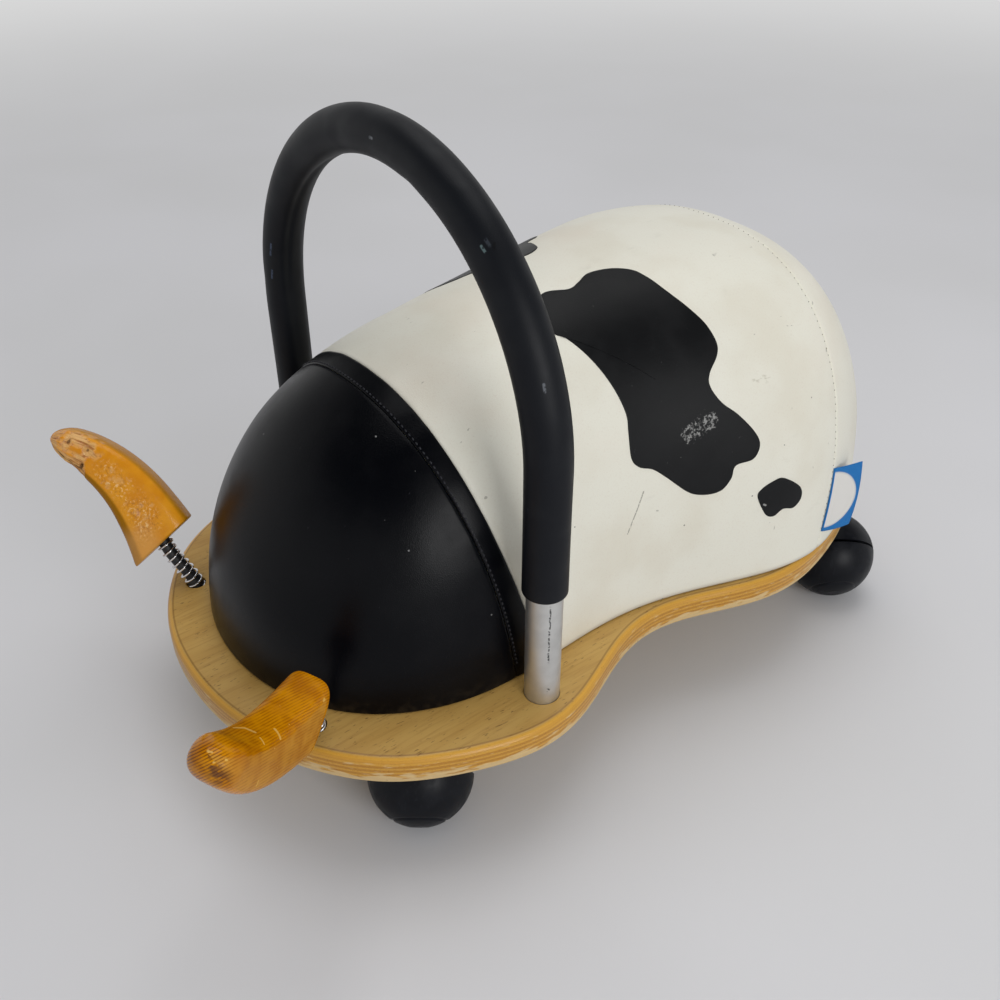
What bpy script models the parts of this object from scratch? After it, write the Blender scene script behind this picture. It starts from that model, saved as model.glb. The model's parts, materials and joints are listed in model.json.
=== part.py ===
"""Ride-on cow: a padded toy on a plywood board with ball casters, a hoop handle and horns on springs.

Metres, +Z up. The floor is z = 0, the head faces -Y and the cow's left flank faces +X.
Most pieces are modelled from the deck: x = 0 is the middle, y = 0 the handle's plane and
z = 0 the board's top face. The deck's empty carries them to their place over the floor.
"""

import math

import bmesh
import bpy
import numpy as np
from mathutils import Matrix, Vector

# Fits, and how many sides round pieces have
GAP = 0.0003
WELD = 0.000001
PIN_SIDES = 12
SOCKET_SIDES = 16
WIDE_SIDES = 24

# Hoop handle
HANDLE_SPAN = 0.250
HANDLE_STRAIGHT = 0.1385
TUBE_R = 0.0095
TUBE_WALL = 0.0015
TUBE_SET_BACK = 0.001
GRIP_R = 0.0117
GRIP_START = 0.070
ARC_STEPS = 16
HANDLE_BEVEL = 3
PLUG_LENGTH = 0.025
PLUG_BORE_R = 0.0022
PLUG_BORE_DEPTH = 0.018
HANDLE_SCREW_HEAD_R = 0.011
HANDLE_SCREW_HEAD_T = 0.002
HANDLE_SCREW_BITE = 0.015
LEG_X = HANDLE_SPAN / 2

# Plywood board: half widths at equal steps of a half turn from the front end to the rear end,
# widest where its ears reach out past the handle's legs
BOARD_T = 0.018
BOARD_ROUND = 0.0045
BOARD_FRONT = -0.142
BOARD_REAR = 0.317
EAR_FRONT_REACH = 0.015
EAR_REACH = 0.019
BOARD_HALF_WIDTHS = (0.048, 0.0885, 0.1205, LEG_X + EAR_FRONT_REACH, LEG_X + EAR_REACH, 0.1225,
                     0.1195, 0.1360, 0.1340, 0.1205, 0.0985, 0.0575)
BOARD_STEPS = 28

# Cover over the foam: arches of a superellipse, stepped the same way
FRONT_LEDGE = 0.024
REAR_SET = 0.0033
EDGE_SET = 0.0005
HANDLE_ROOM = 0.0061
HEAD_HALF_WIDTHS = (0.0551, 0.0941, LEG_X - TUBE_R - HANDLE_ROOM, 0.1062, 0.1206)
COVER_HEIGHTS = (0.0625, 0.1177, 0.1509, 0.1674, 0.1758, 0.1756, 0.1591, 0.1014)
ARCH_POWER_FRONT = 2.15
ARCH_POWER_REAR = 2.51
COVER_T = 0.002
COVER_LIFT = 0.0005
COVER_COLUMNS = 22
SEAM_GAP = 0.0006
FOAM_CLEARANCE = 0.0009
FOAM_ROWS = 26

# Seams: place at the foot, slant and bow over the share of the arch's height
STITCH_SEAM = (-0.0042, -0.0198, -0.0060)
BAND_SEAM = (0.0144, -0.0425, 0.0090)
REAR_SEAM = (0.2148, 0.0325, -0.0106)

# Plywood panel under the foam and its screws
PANEL_T = 0.009
PANEL_CLEARANCE = 0.0010
BODY_SCREW_X = 0.050
BODY_SCREW_FRONT = 0.112
BODY_SCREW_REAR = 0.097
BODY_SCREW_BITE = 0.006

# Patches: middle and outline as length from the handle and angle over the arch in degrees
PATCH_T = 0.0004
PATCH_LIFT = 0.0008
LEFT_LARGE_MIDDLE = (0.112, 46)
LEFT_LARGE_PATCH = (
    (0.0637, 74.9), (0.0731, 65.6), (0.0826, 53.8), (0.0883, 41.0), (0.0854, 31.4),
    (0.0973, 27.2), (0.1172, 20.0), (0.1371, 18.4), (0.1469, 22.9), (0.1617, 25.0),
    (0.1576, 30.5), (0.1445, 37.1), (0.1404, 41.7), (0.1523, 50.0), (0.1514, 58.2),
    (0.1427, 68.3), (0.1350, 78.3), (0.1134, 81.7), (0.0950, 79.0), (0.0806, 81.3))
LEFT_SMALL_MIDDLE = (0.175, 14.5)
LEFT_SMALL_PATCH = (
    (0.1771, 17.6), (0.1892, 14.6), (0.1904, 11.6), (0.1774, 11.1), (0.1649, 10.7),
    (0.1592, 15.1), (0.1671, 17.1))
RIGHT_LARGE_MIDDLE = (0.096, 124)
RIGHT_LARGE_PATCH = (
    (0.0552, 112), (0.0616, 108), (0.0722, 105.6), (0.0808, 103.2), (0.0908, 100.2),
    (0.1015, 98.2), (0.1090, 98.3), (0.1152, 99.8), (0.1185, 102.4), (0.1217, 105.9),
    (0.1240, 109.3), (0.1290, 110.2), (0.1345, 110.8), (0.1390, 114), (0.1380, 126),
    (0.1250, 139), (0.1040, 150), (0.0820, 146), (0.0640, 134), (0.0540, 121))

# Sewn side label
LABEL_LENGTH = 0.021
LABEL_HEIGHT = 0.042
LABEL_LOW = 0.012
LABEL_T = 0.0006
LABEL_HEADING = 75

# Horns on springs: feet on the board, seats under the horns, aims from base to tip, bulging sides
SPRING_FOOT = (0.0725, -0.107)
SPRING_LEAN = (0.29, -0.20, 0.93)
HORN_LEFT_SEAT = (0.0854, -0.1204, 0.0270)
HORN_LEFT_AIM = (0.498, -0.845, 0.192)
HORN_LEFT_BULGE = (-0.037, -0.242, -0.970)
HORN_RIGHT_SEAT = (-0.0858, -0.1162, 0.0271)
HORN_RIGHT_AIM = (-0.532, -0.052, 0.845)
HORN_RIGHT_BULGE = (0.388, 0.872, 0.300)
HORN_LENGTH = 0.0908
HORN_WIDTH = 0.0398
HORN_THICKNESS = 0.0260
HORN_TIP_WIDTH = 0.0175
HORN_TIP_THICKNESS = 0.0249
HORN_BEND = math.radians(55.3)
HORN_SKEW = math.radians(21)
HORN_ROUND_LENGTH = 0.0133
HORN_EDGE_POWER = 3.6
HORN_BEND_POWER = 1.34
HORN_THICKNESS_POWER = 1.5
HORN_SKEW_SHARE = 0.25
HORN_SIDES = 16
SPRING_R = 0.00525
WIRE_R = 0.00055
SPRING_PITCH = 0.0040
CURL_POINTS = 8
CORE_R = 0.0035
BOARD_SOCKET = 0.007
HORN_SOCKET = 0.006
SOCKET_CLEARANCE = 0.0004
ROCK_SIDE_SHARE = 0.25
ROCK_FORE_SHARE = 0.75

# Ball casters
CASTER_FRONT = 0.0657
CASTER_FRONT_EDGE = 0.0455
CASTER_REAR = 0.0561
CASTER_REAR_EDGE = 0.0276
BALL_R = 0.0295
HOOD_HEADROOM = 0.0017
TRAIL = 0.022
ROLL_HEADING = math.radians(52.3)
AXLE_TILT = math.radians(35)
PLATE_T = 0.002
PLATE_CORNER = 0.0045
PLATE_HOLE_SPACING = 0.024
PLATE_HOLE_MARGIN = 0.0045
PLATE_SIZE = PLATE_HOLE_SPACING + 2 * PLATE_HOLE_MARGIN
PLATE_HOLE_R = 0.0022
KINGPIN_R = 0.0040
KINGPIN_LENGTH = 0.014
KINGPIN_CLEARANCE = 0.0004
BOSS_R = 0.008
BOSS_FLOOR = 0.0015
AXLE_R = 0.0020
AXLE_BACK = 0.0132
AXLE_FRONT = 0.0137
WHEEL_BACK = 0.0005
HOOD_FRONT = -0.0010
HOOD_WALL = 0.0025
HUB_R = 0.0070
GROOVE_R = 0.0150
GROOVE_DEPTH = 0.0006
GROOVE_HALF_WIDTH = 0.0010
TREAD_HALF_ANGLE = 3
CASTER_SIDES = 16
CASTER_SCREW_HEAD_T = 0.0012

# Wood screws
SCREW_HEAD_R = 0.0038
SCREW_HEAD_T = 0.0018
SCREW_SHANK_R = 0.0017
SCREW_LENGTH = 0.014
SCREW_HEAD_FACE_R = 0.0027
SCREW_SIDES = 6

# What follows from them
CASTER_HEIGHT = 2 * BALL_R + HOOD_HEADROOM + PLATE_T + GAP
DECK_Z = CASTER_HEIGHT + BOARD_T
PLATE_Z = CASTER_HEIGHT - GAP - PLATE_T
COVER_FRONT = BOARD_FRONT + FRONT_LEDGE
COVER_REAR = BOARD_REAR - REAR_SET
PANEL_TOP = GAP + PANEL_T


def clear_scene():
    """Removes every object, so that the script can run again in an open file."""
    for obj in list(bpy.data.objects):
        bpy.data.objects.remove(obj)


def new_collection(name):
    """A collection under the scene's own."""
    collection = bpy.data.collections.new(name)
    bpy.context.scene.collection.children.link(collection)
    return collection


def new_material(name, colour, roughness, metallic=0.0):
    """A material of one colour."""
    material = bpy.data.materials.new(name)
    material.use_nodes = True
    shader = material.node_tree.nodes["Principled BSDF"]
    shader.inputs["Base Color"].default_value = (*colour, 1.0)
    shader.inputs["Roughness"].default_value = roughness
    shader.inputs["Metallic"].default_value = metallic
    return material


clear_scene()
PARTS = new_collection("ride_on_cow")
CUTTERS = new_collection("cutters")
BOARD_CUTTERS = new_collection("board_cutters")

PLYWOOD = new_material("varnished_plywood", (0.50, 0.34, 0.13), 0.35)
RAW_PLYWOOD = new_material("raw_plywood", (0.55, 0.42, 0.24), 0.7)
BLACK_LEATHER = new_material("black_leather", (0.012, 0.012, 0.014), 0.38)
WHITE_LEATHER = new_material("white_leather", (0.74, 0.72, 0.66), 0.42)
BLACK_PATCH = new_material("black_patch", (0.016, 0.016, 0.020), 0.42)
FOAM = new_material("foam", (0.75, 0.70, 0.45), 0.9)
LABEL_BLUE = new_material("label_blue", (0.0, 0.17, 0.46), 0.6)
ALUMINIUM = new_material("satin_aluminium", (0.42, 0.42, 0.40), 0.35, 1.0)
GRIP_RUBBER = new_material("grip_rubber", (0.010, 0.011, 0.014), 0.65)
PLUG_PLASTIC = new_material("plug_plastic", (0.05, 0.05, 0.05), 0.5)
HORN_WOOD = new_material("horn_wood", (0.56, 0.24, 0.03), 0.3)
SPRING_STEEL = new_material("spring_steel", (0.55, 0.55, 0.56), 0.25, 1.0)
CORE_RUBBER = new_material("core_rubber", (0.010, 0.010, 0.010), 0.7)
CASTER_PLASTIC = new_material("caster_plastic", (0.014, 0.018, 0.026), 0.4)
ZINC = new_material("zinc_plate", (0.50, 0.50, 0.50), 0.35, 1.0)


def put(name, mesh, material, parent=None, location=(0, 0, 0), rotation=None):
    """An object of the part with its own name, smooth where its faces meet at a shallow angle."""
    mesh.shade_smooth()
    mesh.set_sharp_from_angle(angle=math.radians(40))
    if not mesh.materials:
        mesh.materials.append(material)
    obj = bpy.data.objects.new(name, mesh)
    PARTS.objects.link(obj)
    obj.parent = parent
    obj.location = location
    if rotation is not None:
        obj.rotation_euler = rotation.to_euler()
    return obj


def put_cutter(name, mesh, parent=None, location=(0, 0, 0), rotation=None, collection=CUTTERS):
    """A guide that cuts other pieces and isn't one itself."""
    obj = bpy.data.objects.new(name, mesh)
    collection.objects.link(obj)
    obj.parent = parent
    obj.location = location
    if rotation is not None:
        obj.rotation_euler = rotation.to_euler()
    obj.hide_render = True
    obj.display_type = "WIRE"
    return obj


def put_empty(name, location, parent=None):
    """An empty that carries other objects, for instance on a joint's axis."""
    empty = bpy.data.objects.new(name, None)
    PARTS.objects.link(empty)
    empty.parent = parent
    empty.location = location
    return empty


def baked(obj):
    """The mesh of an object as its curve or modifiers shape it, welded. The object is removed."""
    depsgraph = bpy.context.evaluated_depsgraph_get()
    mesh = bpy.data.meshes.new_from_object(obj.evaluated_get(depsgraph))
    bm = bmesh.new()
    bm.from_mesh(mesh)
    bmesh.ops.remove_doubles(bm, verts=bm.verts, dist=WELD)
    bmesh.ops.recalc_face_normals(bm, faces=bm.faces)
    bm.to_mesh(mesh)
    bm.free()
    bpy.data.objects.remove(obj)
    return mesh


def boolean(obj, cutter, operation="DIFFERENCE"):
    """Cuts an object with a cutter, or with all the cutters of a collection."""
    modifier = obj.modifiers.new(operation.lower(), "BOOLEAN")
    modifier.operation = operation
    modifier.solver = "EXACT"
    if isinstance(cutter, bpy.types.Collection):
        modifier.operand_type = "COLLECTION"
        modifier.collection = cutter
    else:
        modifier.object = cutter


def rod_mesh(name, radius, low, high, sides):
    """A cylinder along Z between two heights."""
    bm = bmesh.new()
    place = Matrix.Translation((0, 0, (low + high) / 2))
    bmesh.ops.create_cone(bm, cap_ends=True, segments=sides, radius1=radius, radius2=radius,
                          depth=high - low, matrix=place)
    mesh = bpy.data.meshes.new(name)
    bm.to_mesh(mesh)
    bm.free()
    return mesh


def turned_mesh(name, profile, sides):
    """A turned solid: its profile runs from the axis down the outer side and back to the axis."""
    mesh = bpy.data.meshes.new(name)
    edges = [(i, i + 1) for i in range(len(profile) - 1)]
    mesh.from_pydata([(r, 0, z) for r, z in profile], edges, [])
    obj = put_cutter(name, mesh)
    screw = obj.modifiers.new("screw", "SCREW")
    screw.axis = "Z"
    screw.steps = sides
    screw.render_steps = sides
    screw.use_merge_vertices = True
    screw.merge_threshold = WELD
    return baked(obj)


def tube_curve(name, points, radius, resolution, caps=True):
    """A round tube along a line of points, as a curve object."""
    curve = bpy.data.curves.new(name, "CURVE")
    curve.dimensions = "3D"
    curve.bevel_depth = radius
    curve.bevel_resolution = resolution
    curve.use_fill_caps = caps
    spline = curve.splines.new("POLY")
    spline.points.add(len(points) - 1)
    for slot, point in zip(spline.points, points):
        slot.co = (*point, 1.0)
    return put_cutter(name, curve)


def plate_mesh(name, outline, thickness, edge_round=0.0):
    """A flat plate standing on z = 0 with a given outline, its edges rounded."""
    curve = bpy.data.curves.new(name, "CURVE")
    curve.dimensions = "2D"
    curve.fill_mode = "BOTH"
    curve.extrude = thickness / 2 - edge_round
    curve.bevel_depth = edge_round
    curve.bevel_resolution = 1
    spline = curve.splines.new("POLY")
    spline.use_cyclic_u = True
    line = inset(outline, edge_round)
    spline.points.add(len(line) - 1)
    for slot, (x, y) in zip(spline.points, line):
        slot.co = (x, y, 0, 1.0)
    mesh = baked(put_cutter(name, curve))
    bm = bmesh.new()
    bm.from_mesh(mesh)
    level = [edge for edge in bm.edges if all(abs(face.normal.z) > 0.9999 for face in edge.link_faces)]
    bmesh.ops.dissolve_edges(bm, edges=level)
    bmesh.ops.translate(bm, verts=bm.verts, vec=(0, 0, thickness / 2))
    bm.to_mesh(mesh)
    bm.free()
    return mesh


def inset(outline, distance):
    """An outline that runs anticlockwise, moved inwards by a distance."""
    line = np.asarray(outline, dtype=float)
    ahead = np.roll(line, -1, axis=0) - np.roll(line, 1, axis=0)
    ahead /= np.linalg.norm(ahead, axis=1, keepdims=True)
    return line + distance * np.stack([-ahead[:, 1], ahead[:, 0]], axis=1)


def sheet_mesh(name, grid):
    """An open surface through a grid of points, facing rows crossed with columns."""
    rows, columns = grid.shape[:2]
    corner = np.arange(rows * columns).reshape(rows, columns)
    faces = np.stack([corner[:-1, :-1], corner[1:, :-1], corner[1:, 1:], corner[:-1, 1:]], axis=-1)
    mesh = bpy.data.meshes.new(name)
    mesh.from_pydata(grid.reshape(-1, 3).tolist(), [], faces.reshape(-1, 4).tolist())
    bm = bmesh.new()
    bm.from_mesh(mesh)
    bmesh.ops.remove_doubles(bm, verts=bm.verts, dist=WELD)
    bm.to_mesh(mesh)
    bm.free()
    return mesh


def loft_mesh(name, rings):
    """A closed solid through rings of points with the same count, its two ends capped."""
    bm = bmesh.new()
    loops = [[bm.verts.new(point) for point in ring] for ring in rings]
    for near, far in zip(loops, loops[1:]):
        for i in range(len(near)):
            j = (i + 1) % len(near)
            bm.faces.new((near[i], near[j], far[j], far[i]))
    bm.faces.new(loops[0])
    bm.faces.new(loops[-1])
    bmesh.ops.remove_doubles(bm, verts=bm.verts, dist=WELD)
    bmesh.ops.recalc_face_normals(bm, faces=bm.faces)
    mesh = bpy.data.meshes.new(name)
    bm.to_mesh(mesh)
    bm.free()
    return mesh


def solidify(obj, thickness, outwards=False):
    """Gives an open surface its thickness."""
    modifier = obj.modifiers.new("thickness", "SOLIDIFY")
    modifier.thickness = thickness
    modifier.offset = 1 if outwards else -1


def around_circumscribed(radius, sides):
    """Corner radius of a many-sided bore whose flats stand at the given radius."""
    return radius / math.cos(math.pi / sides)


def along(samples, theta):
    """The sine series through values at equal steps of a half turn, read at any angles."""
    order = np.arange(1, len(samples) + 1)
    steps = len(samples) + 1
    weights = np.sin(np.outer(order, order) * math.pi / steps) @ np.array(samples) * 2 / steps
    return np.sin(np.multiply.outer(theta, order)) @ weights


def length_at(front, rear, theta):
    """Place along the length for an angle between 0 at the front and pi at the rear."""
    return (front + rear) / 2 - (rear - front) / 2 * np.cos(theta)


def theta_at(front, rear, y):
    """The angle that belongs to a place along the length."""
    return np.arccos((front + rear - 2 * np.asarray(y)) / (rear - front))


def board_half_width(y):
    """Half the board's width at a place along it."""
    return float(along(BOARD_HALF_WIDTHS, theta_at(BOARD_FRONT, BOARD_REAR, y)))


def both_sides(half_widths, ys):
    """A closed anticlockwise outline from half widths, whose first and last points lie at x = 0."""
    right = [(x, y) for x, y in zip(half_widths, ys)]
    left = [(-x, y) for x, y in zip(half_widths[1:-1], ys[1:-1])]
    return right + left[::-1]


def outline_of(samples, front, rear):
    """The outline whose half widths are given at equal steps of a half turn."""
    theta = np.linspace(0, math.pi, BOARD_STEPS + 1)
    half_widths = along(samples, theta)
    half_widths[[0, -1]] = 0.0
    return both_sides(half_widths, length_at(front, rear, theta))


def cover_half_widths():
    """The cover's half widths: its own at the head, flush with the board's edge at the rear."""
    steps = len(COVER_HEIGHTS) + 1
    rear_stations = range(len(HEAD_HALF_WIDTHS) + 1, steps)
    ys = [length_at(COVER_FRONT, COVER_REAR, i * math.pi / steps) for i in rear_stations]
    return (*HEAD_HALF_WIDTHS, *[board_half_width(y) - EDGE_SET for y in ys])


COVER_HALF_WIDTHS = cover_half_widths()


def arch_power(y):
    """How square the arch is at a place along the cover, as the power of its sine and cosine."""
    share = (y - COVER_FRONT) / (COVER_REAR - COVER_FRONT)
    return 2 / (ARCH_POWER_FRONT + (ARCH_POWER_REAR - ARCH_POWER_FRONT) * share)


def cover_surface(theta, phi):
    """Points on the cover's outer face, phi running from the left foot over the crown."""
    y = length_at(COVER_FRONT, COVER_REAR, theta)
    power = arch_power(y)
    x = along(COVER_HALF_WIDTHS, theta) * np.sign(np.cos(phi)) * np.abs(np.cos(phi)) ** power
    z = along(COVER_HEIGHTS, theta) * np.sign(np.sin(phi)) * np.abs(np.sin(phi)) ** power
    return np.stack(np.broadcast_arrays(x, y, z + COVER_LIFT), axis=-1)


def cover_normal(theta, phi):
    """Unit normals of the cover's outer face."""
    step = 0.0005
    along_theta = cover_surface(theta + step, phi) - cover_surface(theta - step, phi)
    along_phi = cover_surface(theta, phi + step) - cover_surface(theta, phi - step)
    normal = np.cross(along_theta, along_phi)
    return normal / np.linalg.norm(normal, axis=-1, keepdims=True)


def seam_theta(seam, phi, shift=0.0):
    """The angle along the length at which a seam crosses each column of the arch."""
    foot, slant, bow = seam
    share = np.abs(np.sin(phi)) ** arch_power(foot)
    return theta_at(COVER_FRONT, COVER_REAR, foot + slant * share + bow * share ** 2 + shift)


def cover_panel(name, front_seam, rear_seam, rows, material):
    """One sewn panel of the cover between two seams, or up to an end where a seam is None."""
    phi = np.linspace(0, math.pi, COVER_COLUMNS + 1)
    start = np.zeros_like(phi)
    end = np.full_like(phi, math.pi)
    if front_seam:
        start = seam_theta(front_seam, phi, SEAM_GAP / 2)
    if rear_seam:
        end = seam_theta(rear_seam, phi, -SEAM_GAP / 2)
    share = np.linspace(0, 1, rows + 1)[:, None]
    grid = cover_surface(start + share * (end - start), phi[None, :])
    obj = put(name, sheet_mesh(name, grid), material, deck)
    solidify(obj, COVER_T)
    return obj


def foam_core():
    """The foam block under the cover, cut flat over the plywood panel."""
    theta = np.linspace(0, math.pi, FOAM_ROWS + 1)[1:-1, None]
    phi = np.arange(2 * COVER_COLUMNS)[None, :] * math.pi / COVER_COLUMNS
    depth = COVER_T + FOAM_CLEARANCE
    rings = list(cover_surface(theta, phi) - depth * cover_normal(theta, phi))
    front_pole = np.tile([0, COVER_FRONT + depth, COVER_LIFT], (2 * COVER_COLUMNS, 1))
    rear_pole = np.tile([0, COVER_REAR - depth, COVER_LIFT], (2 * COVER_COLUMNS, 1))
    mesh = bpy.data.meshes.new("foam_core")
    bm = bmesh.new()
    bm.from_mesh(egg_mesh([front_pole, *rings, rear_pole]))
    everything = [*bm.verts, *bm.edges, *bm.faces]
    cut = bmesh.ops.bisect_plane(bm, geom=everything, plane_co=(0, 0, PANEL_TOP + GAP),
                                 plane_no=(0, 0, 1), clear_inner=True)
    rim = [item for item in cut["geom_cut"] if isinstance(item, bmesh.types.BMEdge)]
    bmesh.ops.contextual_create(bm, geom=rim)
    bmesh.ops.recalc_face_normals(bm, faces=bm.faces)
    bm.to_mesh(mesh)
    bm.free()
    return put("foam_core", mesh, FOAM, deck)


def egg_mesh(rings):
    """A closed body of rings that shrink to a point at both ends."""
    grid = np.stack(rings)
    grid = np.concatenate([grid, grid[:, :1]], axis=1)
    return sheet_mesh("egg", grid)


def core_panel():
    """The plywood panel that the foam is glued to, inside the cover's foot, with its screw holes."""
    outline = outline_of(COVER_HALF_WIDTHS, COVER_FRONT, COVER_REAR)
    mesh = plate_mesh("core_panel", inset(outline, COVER_T + PANEL_CLEARANCE), PANEL_T)
    obj = put("core_panel", mesh, RAW_PLYWOOD, deck, (0, 0, GAP))
    hole = rod_mesh("panel_hole", SCREW_SHANK_R + GAP, -GAP, BODY_SCREW_BITE + GAP, SCREW_SIDES)
    for number, (x, y) in enumerate(body_screw_places(), 1):
        boolean(obj, put_cutter(f"panel_hole_{number}", hole, deck, (x, y, GAP)))
    return obj


def body_screw_places():
    """The four screws that hold the body to the board."""
    ys = (BOARD_FRONT + BODY_SCREW_FRONT, BOARD_REAR - BODY_SCREW_REAR)
    return [(x, y) for y in ys for x in (BODY_SCREW_X, -BODY_SCREW_X)]


def smooth_loop(points, parts):
    """A smooth closed line through points, with the same count of parts between each pair."""
    p = np.asarray(points, dtype=float)
    before, after, beyond = np.roll(p, 1, axis=0), np.roll(p, -1, axis=0), np.roll(p, -2, axis=0)
    t = np.arange(parts)[None, :, None] / parts
    p, before, after, beyond = p[:, None], before[:, None], after[:, None], beyond[:, None]
    line = p + 0.5 * t * (after - before)
    line = line + 0.5 * t ** 2 * (2 * before - 5 * p + 4 * after - beyond)
    line = line + 0.5 * t ** 3 * (3 * p - before - 3 * after + beyond)
    return line.reshape(-1, 2)


def patch(name, middle, outline, rings, parts):
    """A thin patch bonded on the white panel, stepped in rings about its middle."""
    edge = smooth_loop(outline, parts)
    share = np.linspace(0, 1, rings + 1)[:, None, None]
    spread = np.asarray(middle) + share * (edge[None] - np.asarray(middle))
    spread = np.concatenate([spread, spread[:, :1]], axis=1)
    theta = theta_at(COVER_FRONT, COVER_REAR, spread[..., 0])
    phi = np.radians(spread[..., 1])
    grid = cover_surface(theta, phi) + PATCH_LIFT * cover_normal(theta, phi)
    mesh = sheet_mesh(name, grid)
    facing_out(mesh, cover_normal(theta[0, 0], phi[0, 0]))
    solidify(put(name, mesh, BLACK_PATCH, deck), PATCH_T, outwards=True)


def facing_out(mesh, direction):
    """Turns a sheet's faces to the side that a direction points to."""
    if Vector(direction).dot(mesh.polygons[0].normal) < 0:
        mesh.flip_normals()


def side_label():
    """A blank label sewn into the rear seam, low on the left flank, standing off the cover."""
    heights = np.linspace(LABEL_LOW, LABEL_LOW + LABEL_HEIGHT, 4)
    foot = REAR_SEAM[0]
    arch = along(COVER_HEIGHTS, theta_at(COVER_FRONT, COVER_REAR, foot))
    phi = np.arcsin((heights / arch) ** (1 / arch_power(foot)))
    theta = seam_theta(REAR_SEAM, phi)
    root = cover_surface(theta, phi) + (GAP + LABEL_T) * cover_normal(theta, phi)
    reach = np.linspace(0, LABEL_LENGTH, 4)[:, None, None]
    heading = math.radians(LABEL_HEADING)
    grid = root[None] + reach * np.array([math.cos(heading), math.sin(heading), 0])
    mesh = sheet_mesh("side_label", grid)
    facing_out(mesh, (1, 0, 0))
    solidify(put("side_label", mesh, LABEL_BLUE, deck), LABEL_T)


def handle_line(low):
    """The hoop's centre line from one foot at a height, over the arc, to the other foot."""
    arc = [(LEG_X * math.cos(a), 0, HANDLE_STRAIGHT + LEG_X * math.sin(a))
           for a in np.linspace(0, math.pi, ARC_STEPS + 1)]
    legs = [(LEG_X, 0, z) for z in (low, (low + HANDLE_STRAIGHT) / 2)]
    return legs + arc + [(-x, y, z) for x, y, z in legs[::-1]]


def handle():
    """The aluminium hoop, its long grip, and a plug and a screw in each foot."""
    tube_end = -BOARD_T + TUBE_SET_BACK
    tube = baked(tube_curve("handle_tube", handle_line(tube_end), TUBE_R, HANDLE_BEVEL, caps=False))
    solidify(put("handle_tube", tube, ALUMINIUM, deck), TUBE_WALL)
    grip = baked(tube_curve("handle_grip", handle_line(GRIP_START), GRIP_R, HANDLE_BEVEL, caps=False))
    solidify(put("handle_grip", grip, GRIP_RUBBER, deck), GRIP_R - TUBE_R - GAP)

    tube_sides = 4 + 2 * HANDLE_BEVEL
    bore_flat = (TUBE_R - TUBE_WALL) * math.cos(math.pi / tube_sides)
    plug = turned_mesh("handle_plug", [
        (0, PLUG_LENGTH), (bore_flat - GAP, PLUG_LENGTH), (bore_flat - GAP, 0), (PLUG_BORE_R, 0),
        (PLUG_BORE_R, PLUG_BORE_DEPTH), (0, PLUG_BORE_DEPTH)], SOCKET_SIDES)
    underside = -BOARD_T - GAP
    shank_top = tube_end + HANDLE_SCREW_BITE
    screw = turned_mesh("handle_screw", [
        (0, shank_top), (SCREW_SHANK_R, shank_top), (SCREW_SHANK_R, underside),
        (HANDLE_SCREW_HEAD_R, underside), (HANDLE_SCREW_HEAD_R, underside - HANDLE_SCREW_HEAD_T),
        (0, underside - HANDLE_SCREW_HEAD_T)], WIDE_SIDES)
    bore_r = around_circumscribed(TUBE_R + GAP, WIDE_SIDES)
    bore = rod_mesh("handle_bore", bore_r, -BOARD_T - GAP, GAP, WIDE_SIDES)
    for side, x in (("left", LEG_X), ("right", -LEG_X)):
        put(f"handle_plug_{side}", plug, PLUG_PLASTIC, deck, (x, 0, tube_end))
        put(f"handle_screw_{side}", screw, ZINC, deck, (x, 0, 0))
        put_cutter(f"handle_bore_{side}", bore, deck, (x, 0, 0), collection=BOARD_CUTTERS)


def unit(vector):
    """The vector with its length made one."""
    v = np.asarray(vector, dtype=float)
    return v / np.linalg.norm(v)


def horn_axes(aim, bulge):
    """The horn's own axes as columns: towards the tip, towards the bulging side, and across."""
    x = unit(aim)
    y = unit(np.asarray(bulge) - np.dot(bulge, x) * x)
    return np.stack([x, y, np.cross(x, y)], axis=1)


def horn_rings():
    """Rounded oblong sections along a bending line, from the slanted base to the blunt tip."""
    round_share = HORN_ROUND_LENGTH / HORN_LENGTH
    body = np.linspace(0, 1 - round_share, 9)
    nose = 1 - round_share + round_share * np.sin(np.radians([25, 45, 62, 76, 86]))
    s = np.concatenate([body, nose])
    fine = np.linspace(0, 1, 200)
    turn = -HORN_BEND * fine ** HORN_BEND_POWER
    middle_x = np.cumsum(np.cos(turn)) * HORN_LENGTH / len(fine)
    middle_y = np.cumsum(np.sin(turn)) * HORN_LENGTH / len(fine)
    angle = np.interp(s, fine, turn)
    taper = np.sqrt(1 - np.clip((s - 1 + round_share) / round_share, 0, 1) ** 2)
    width = (HORN_WIDTH - (HORN_WIDTH - HORN_TIP_WIDTH) * s) / 2 * taper
    thinning = s ** HORN_THICKNESS_POWER
    thickness = (HORN_THICKNESS - (HORN_THICKNESS - HORN_TIP_THICKNESS) * thinning) / 2 * taper
    t = np.arange(HORN_SIDES) * 2 * math.pi / HORN_SIDES
    cosine, sine = np.cos(t), np.sin(t)
    u = np.outer(width, np.sign(cosine) * np.abs(cosine) ** (2 / HORN_EDGE_POWER))
    v = np.outer(thickness, np.sign(sine) * np.abs(sine) ** (2 / HORN_EDGE_POWER))
    slant = math.tan(HORN_SKEW) * np.maximum(0, 1 - s / HORN_SKEW_SHARE)[:, None]
    x = np.interp(s, fine, middle_x - middle_x[0])[:, None]
    y = np.interp(s, fine, middle_y - middle_y[0])[:, None]
    angle = angle[:, None]
    x = x - np.sin(angle) * u + slant * u * np.cos(angle)
    y = y + np.cos(angle) * u + slant * u * np.sin(angle)
    return np.stack([x, y, v], axis=-1)


def horn_points(seat, aim, bulge):
    """The horn's rings where they stand over the deck, the seat being the middle of its base."""
    return horn_rings() @ horn_axes(aim, bulge).T + np.array(seat)


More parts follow.
